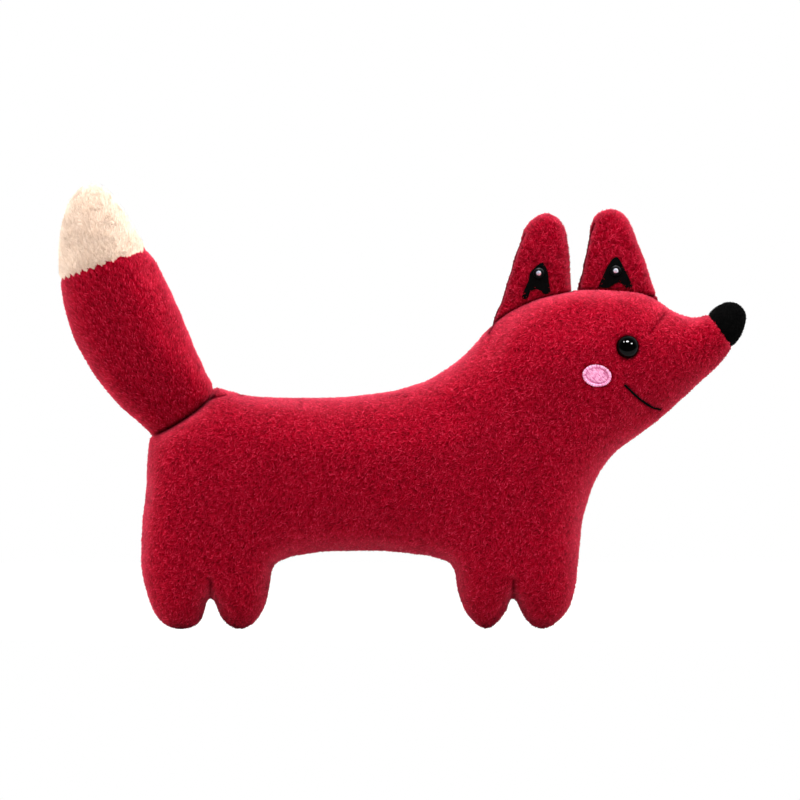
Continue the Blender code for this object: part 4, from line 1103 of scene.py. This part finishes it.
felt = {"material": blackFelt, "spacing": 1.0 * mm, "bottom": -0.3 * mm, "top": 0.9 * mm}
beads = {"ear_rear": (74.9, 195.6), "ear_front": (117.2, 196.9)}
beadParts = {
    "setting": {"material": settingPlastic, "slot": "black_plastic", "segments": 28, "lift": 0.8 * mm, "profile": [
        (0, 1.1), (1.5, 1.15), (2.2, 1.3), (2.75, 1.1), (3.0, 0.6), (3.0, 0), (2.6, -0.4), (0, -0.4)]},
    "crystal": {"material": crystalGlass, "slot": "crystal", "segments": 8, "lift": 1.7 * mm, "profile": [
        (0, 1.5), (0.75, 1.5), (1.35, 0.95), (1.5, 0.4), (1.2, -0.5), (0, -0.8)]}}
earPatches = []
for earName, outline in patches.items():
    tree = surfaces[earName]
    for word, side in sides:
        patch = slab("%s_patch_%s_felt" % (earName, word), outline, tree, side, felt)
        earPatches.append((patch, earName))
        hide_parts("%s_patch_%s" % (earName, word))
        hit, _ = surfaceAt(tree, beads[earName][0] * mm, beads[earName][1] * mm, side)
        for part, look in beadParts.items():
            place = hit + Vector((0, side * look["lift"], 0))
            bead = lathe("%s_%s_%s" % (earName, part, word), look, place, (0, side, 0))
            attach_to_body(bead, earName)
            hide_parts("%s_bead_%s_%s" % (earName, word, part))
say("ear patches and beads made")


def makeStitchTree():  # stitches laid one after another along paths, each a small spindle of thread
    tree, add, given = startTree("Stitches", {
        "Paths": ("Geometry", None), "Spacing": ("Float", 0.5 * mm), "Length": ("Float", 2 * mm),
        "Thickness": ("Float", 0.4 * mm), "Angle": ("Float", math.pi / 2), "Uneven": ("Float", 0.15),
        "Facing": ("Vector", (0, -1, 0)), "Seed": ("Int", 1), "Material": ("Material", None)})
    seed, uneven = given["Seed"], given["Uneven"]
    curve = add("GeometryNodeMeshToCurve", {0: given["Paths"]})
    points = add("GeometryNodeCurveToPoints", {"Curve": curve, "Length": given["Spacing"]}, mode="LENGTH")
    spin = add("FunctionNodeAxisAngleToRotation", {"Axis": given["Facing"], "Angle": given["Angle"]})
    crosswise = add("FunctionNodeRotateVector", {0: points.outputs["Tangent"], 1: spin})
    some = add("FunctionNodeRandomValue", {0: (-1, -1, -1), 1: (1, 1, 1), "Seed": seed}, data_type="FLOAT_VECTOR")
    some = add("ShaderNodeVectorMath", {0: some, "Scale": uneven}, operation="SCALE")
    heading = add("ShaderNodeVectorMath", {0: crosswise, 1: some}, operation="ADD")
    turn = add("FunctionNodeAlignRotationToVector", {"Vector": heading}, axis="Z")
    low, high = (add("ShaderNodeMath", {0: 1.0, 1: uneven}, operation=word) for word in ("SUBTRACT", "ADD"))
    longer = add("FunctionNodeRandomValue", {2: low, 3: high, "Seed": seed}, data_type="FLOAT")
    length = add("ShaderNodeMath", {0: given["Length"], 1: longer}, operation="MULTIPLY")
    size = add("ShaderNodeCombineXYZ", {"X": given["Thickness"], "Y": given["Thickness"], "Z": length})
    ball = add("GeometryNodeMeshUVSphere", {"Segments": 6, "Rings": 5, "Radius": 0.5})
    many = add("GeometryNodeInstanceOnPoints", {"Points": points, "Instance": ball, "Rotation": turn, "Scale": size})
    tone = add("FunctionNodeRandomValue", {2: 0.0, 3: 1.0, "Seed": seed}, data_type="FLOAT")
    endTree(add, many, tone, given["Material"])
    return tree


stitchTree = makeStitchTree()


def stitch(name, paths, side, look):  # stitches along paths that lie on the cloth, given in m
    points, edges = [], []
    for path in paths:
        start = len(points)
        for x, z in path:
            points.append(surfaceAt(surfaces["body"], x, z, side)[0] + Vector((0, side * look["Lift"], 0)))
        edges += [(i, i + 1) for i in range(start, len(points) - 1)]
    facing = tuple(surfaceAt(surfaces["body"], look["At"][0] * mm, look["At"][1] * mm, side)[1])
    return runTree(name, meshObject("paths", points, [], None, edges), stitchTree, dict(look, Facing=facing))


def joined(name, pieces):
    work = bmesh.new()
    for piece in pieces:
        work.from_mesh(piece.data)
    mesh = bpy.data.meshes.new(name)
    work.to_mesh(mesh)
    work.free()
    mesh.materials.append(pieces[0].data.materials[0])
    for piece in pieces:
        bpy.data.objects.remove(piece)
    return objectOf(name, mesh)


def onCheek(u, v):  # a point of the cheek's own axes, in mm, as a point of the side view, in m
    c, s = math.cos(cheek["turn"]), math.sin(cheek["turn"])
    return (cheek["centre"][0] + u * c - v * s) * mm, (cheek["centre"][1] + u * s + v * c) * mm


def ovalPath(share, count):
    angles = [2 * math.pi * k / count for k in range(count + 1)]
    return [onCheek(share * cheek["half"][0] * math.cos(a), share * cheek["half"][1] * math.sin(a)) for a in angles]


def cheekRows():  # slanting rows of stitches inside the border
    slant = math.radians(-38)
    c, s = math.cos(slant), math.sin(slant)
    rows = []
    for off in np.arange(-12, 13) * 0.5:
        row = [(t * c - off * s, t * s + off * c) for t in np.linspace(-9, 9, 37)]
        row = [onCheek(u, v) for u, v in row
               if math.hypot(u / (cheek["half"][0] * 0.62), v / (cheek["half"][1] * 0.59)) < 1]
        if len(row) > 2:
            rows.append(row)
    return rows


cheekBorder = {"Spacing": 0.36 * mm, "Length": 1.7 * mm, "Thickness": 0.5 * mm, "Angle": math.pi / 2, "Uneven": 0.12,
               "Seed": 2, "Material": pinkThread, "Lift": 0.6 * mm, "At": cheek["centre"]}
cheekFill = {"Spacing": 1.3 * mm, "Length": 2.2 * mm, "Thickness": 0.5 * mm, "Angle": 0.0, "Uneven": 0.15,
             "Seed": 4, "Material": pinkThread, "Lift": 0.5 * mm, "At": cheek["centre"]}
# the bed has no tone of its own, so it takes the thread's darker pinks: painted shade in the ring between the border
# and the filling
cheekBed = {"material": pinkThread, "spacing": 0.9 * mm, "bottom": -0.4 * mm, "top": 0.3 * mm}
mouth = {"Spacing": 0.5 * mm, "Length": 1.45 * mm, "Thickness": 0.85 * mm, "Angle": 0.9, "Uneven": 0.1,
         "Seed": 6, "Material": blackThread, "Lift": 0.9 * mm, "At": (131.6, 125.3)}
for word, side in sides:
    bedOutline = [(x / mm, z / mm) for x, z in ovalPath(0.97, 30)[:-1]]
    embroidery = joined("cheek_%s_embroidery" % word, [
        stitch("border", [ovalPath(0.88, 60)], side, cheekBorder), stitch("filling", cheekRows(), side, cheekFill),
        slab("bed", bedOutline, surfaces["body"], side, cheekBed)])
    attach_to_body(embroidery, "body")
    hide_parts("cheek_" + word)
    lips = stitch("mouth_%s_stitches" % word, [smoothPath(mouthPath, False, 0.8 * mm)], side, mouth)
    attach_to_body(lips, "body")
    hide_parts("mouth_" + word)
say("cheeks and mouth stitched")


# What each piece moves with: the body's and nose's cloth and pile go with the body, the tail tip's with the tail; the
# tail's and ears' pieces are only fixed where they stand


def attach(piece, home):
    if home in ("body", "nose"):
        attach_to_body(piece, "body")
    elif home == "tip":
        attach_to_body(piece, "tail")
    elif home == "tail":
        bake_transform(piece)
    else:
        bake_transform(piece)


cloths = {
    "body": {"slot": "red_plush", "fill": 0.85, "nodes": (
        "torso_cover", "head_cover", "hind_leg_back_cover", "hind_leg_front_cover", "fore_leg_back_cover",
        "fore_leg_front_cover", "body_stuffing")},
    "nose": {"slot": "black_plush", "fill": 0.85, "nodes": ("nose_cover",)},
    "tail": {"slot": "red_plush", "fill": 0.8, "nodes": ("tail_cover", "tail_stuffing")},
    "tip": {"slot": "cream_plush", "fill": 0.8, "nodes": ("tail_tip_cover",)}}
for earName in ears:
    cloths[earName] = {"slot": "red_plush", "fill": 0.4, "nodes": (
        earName + "_panel_right", earName + "_panel_left", earName + "_wadding")}
for home, cloth in cloths.items():
    attach(skins[home], home)
    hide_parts(*cloth["nodes"])
for name, (home, _, _) in piles.items():
    attach(grown[name], home)
for patch, earName in earPatches:
    attach(patch, earName)


# Floor, light and camera

def floorMaterial():  # matt white card; the camera sees it nearly white, with the toy's soft shadow kept
    material, add = newMaterial("white card")
    rays = add("ShaderNodeLightPath").outputs
    seen = rays["Is Camera Ray"]
    for ray in ("Is Glossy Ray", "Is Transmission Ray"):
        seen = add("ShaderNodeMath", {0: seen, 1: rays[ray]}, operation="MAXIMUM")
    share = add("ShaderNodeMath", {0: seen, 1: 0.85}, operation="MULTIPLY")
    matt = add("ShaderNodeBsdfDiffuse", {"Color": linear("#d4d4d4")})
    white = add("ShaderNodeEmission", {"Color": linear("#ffffff"), "Strength": 1.19})
    add("ShaderNodeOutputMaterial", {"Surface": add("ShaderNodeMixShader", {0: share, 1: matt, 2: white})})
    return material


floor = meshObject("floor", [(-2, -0.22, 0), (2, -0.22, 0), (2, 2, 0), (-2, 2, 0)], [(0, 1, 2, 3)], floorMaterial())
floor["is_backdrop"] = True

world = bpy.data.worlds.new("studio")
bpy.context.scene.world = world
world.use_nodes = True
world.node_tree.nodes.clear()
add = partial(addNode, world.node_tree)
rays = add("ShaderNodeLightPath").outputs
direction = add("ShaderNodeTexCoord").outputs["Generated"]
ahead = add("ShaderNodeSeparateXYZ", {0: direction}).outputs["Y"]
backdrop = add("ShaderNodeMapRange", {
    "Value": ahead, "From Min": -0.25, "From Max": 0.35, "To Min": 0.06, "To Max": 1.0})
turned = add("ShaderNodeMapRange", {"Value": ahead, "From Min": -1.0, "From Max": 1.0})
wash = fillRamp(add("ShaderNodeValToRGB", {"Fac": turned}),
                ((0.08, "#7c7c7c"), (0.16, "#404040"), (0.5, "#404040"), (0.65, "#bcbcbc")))
seen = add("ShaderNodeMath", {0: rays["Is Glossy Ray"], 1: rays["Is Transmission Ray"]}, operation="MAXIMUM")
mirrored = add("ShaderNodeMix", {0: seen, 2: wash, 3: backdrop}, data_type="FLOAT")
strength = add("ShaderNodeMix", {0: rays["Is Camera Ray"], 2: mirrored, 3: 1.0}, data_type="FLOAT")
light = add("ShaderNodeBackground", {"Color": linear("#ffffff"), "Strength": strength})
add("ShaderNodeOutputWorld", {"Surface": light})

lamps = {
    "overhead": {"at": (0.05, -0.15, 1.2), "size": (1.2, 0.6), "power": 19.5},
    "near": {"at": (0.2, -0.35, 0.55), "size": (0.3, 0.2), "power": 2.8},
    "left": {"at": (-1.2, -0.25, 0.4), "size": (0.6, 0.6), "power": 13.2},
    "right": {"at": (1.2, -0.25, 0.4), "size": (0.6, 0.6), "power": 8.8},
    "glint": {"at": (0.124, -0.80, 1.05), "size": (0.34, 0.24), "power": 60.0},
    "glint left": {"at": (-0.44, -0.67, 0.99), "size": (0.16, 0.16), "power": 14.0},
    "glint right": {"at": (0.81, -0.83, 0.73), "size": (0.3, 0.14), "power": 20.0}}
lampsAim = Vector((0.0, 0.0, 0.11))
for name, lamp in lamps.items():
    data = bpy.data.lights.new(name, "AREA")
    data.shape = "RECTANGLE"
    data.size, data.size_y = lamp["size"]
    data.energy = lamp["power"]
    holder = objectOf(name, data)
    holder.location = lamp["at"]
    holder.visible_glossy = name.startswith("glint")  # a glint is only mirrored in the eyes; the others are never seen
    holder.visible_diffuse = not holder.visible_glossy
    holder.rotation_euler = (lampsAim - Vector(lamp["at"])).to_track_quat("-Z", "Y").to_euler()

view = {"middle": (-1.3 * mm, 125.95 * mm), "width": 0.44, "distance": 5.0}
lens = bpy.data.cameras.new("camera")
lens.sensor_width = 36
lens.lens = 36 * view["distance"] / view["width"]
lens.clip_start, lens.clip_end = 0.05, 50
camera = objectOf("camera", lens)
camera.location = (view["middle"][0], -view["distance"], view["middle"][1])
camera.rotation_euler = (math.pi / 2, 0, 0)
bpy.context.scene.camera = camera
bpy.context.scene.view_settings.view_transform = "Standard"

shown = [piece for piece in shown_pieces() if piece.type == "MESH" and not piece.hide_render]
say("%d triangles shown" % sum(len(p.vertices) - 2 for piece in shown for p in piece.data.polygons))
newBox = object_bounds()
say("box now %s" % [round(v / mm, 1) for corner in newBox for v in corner])
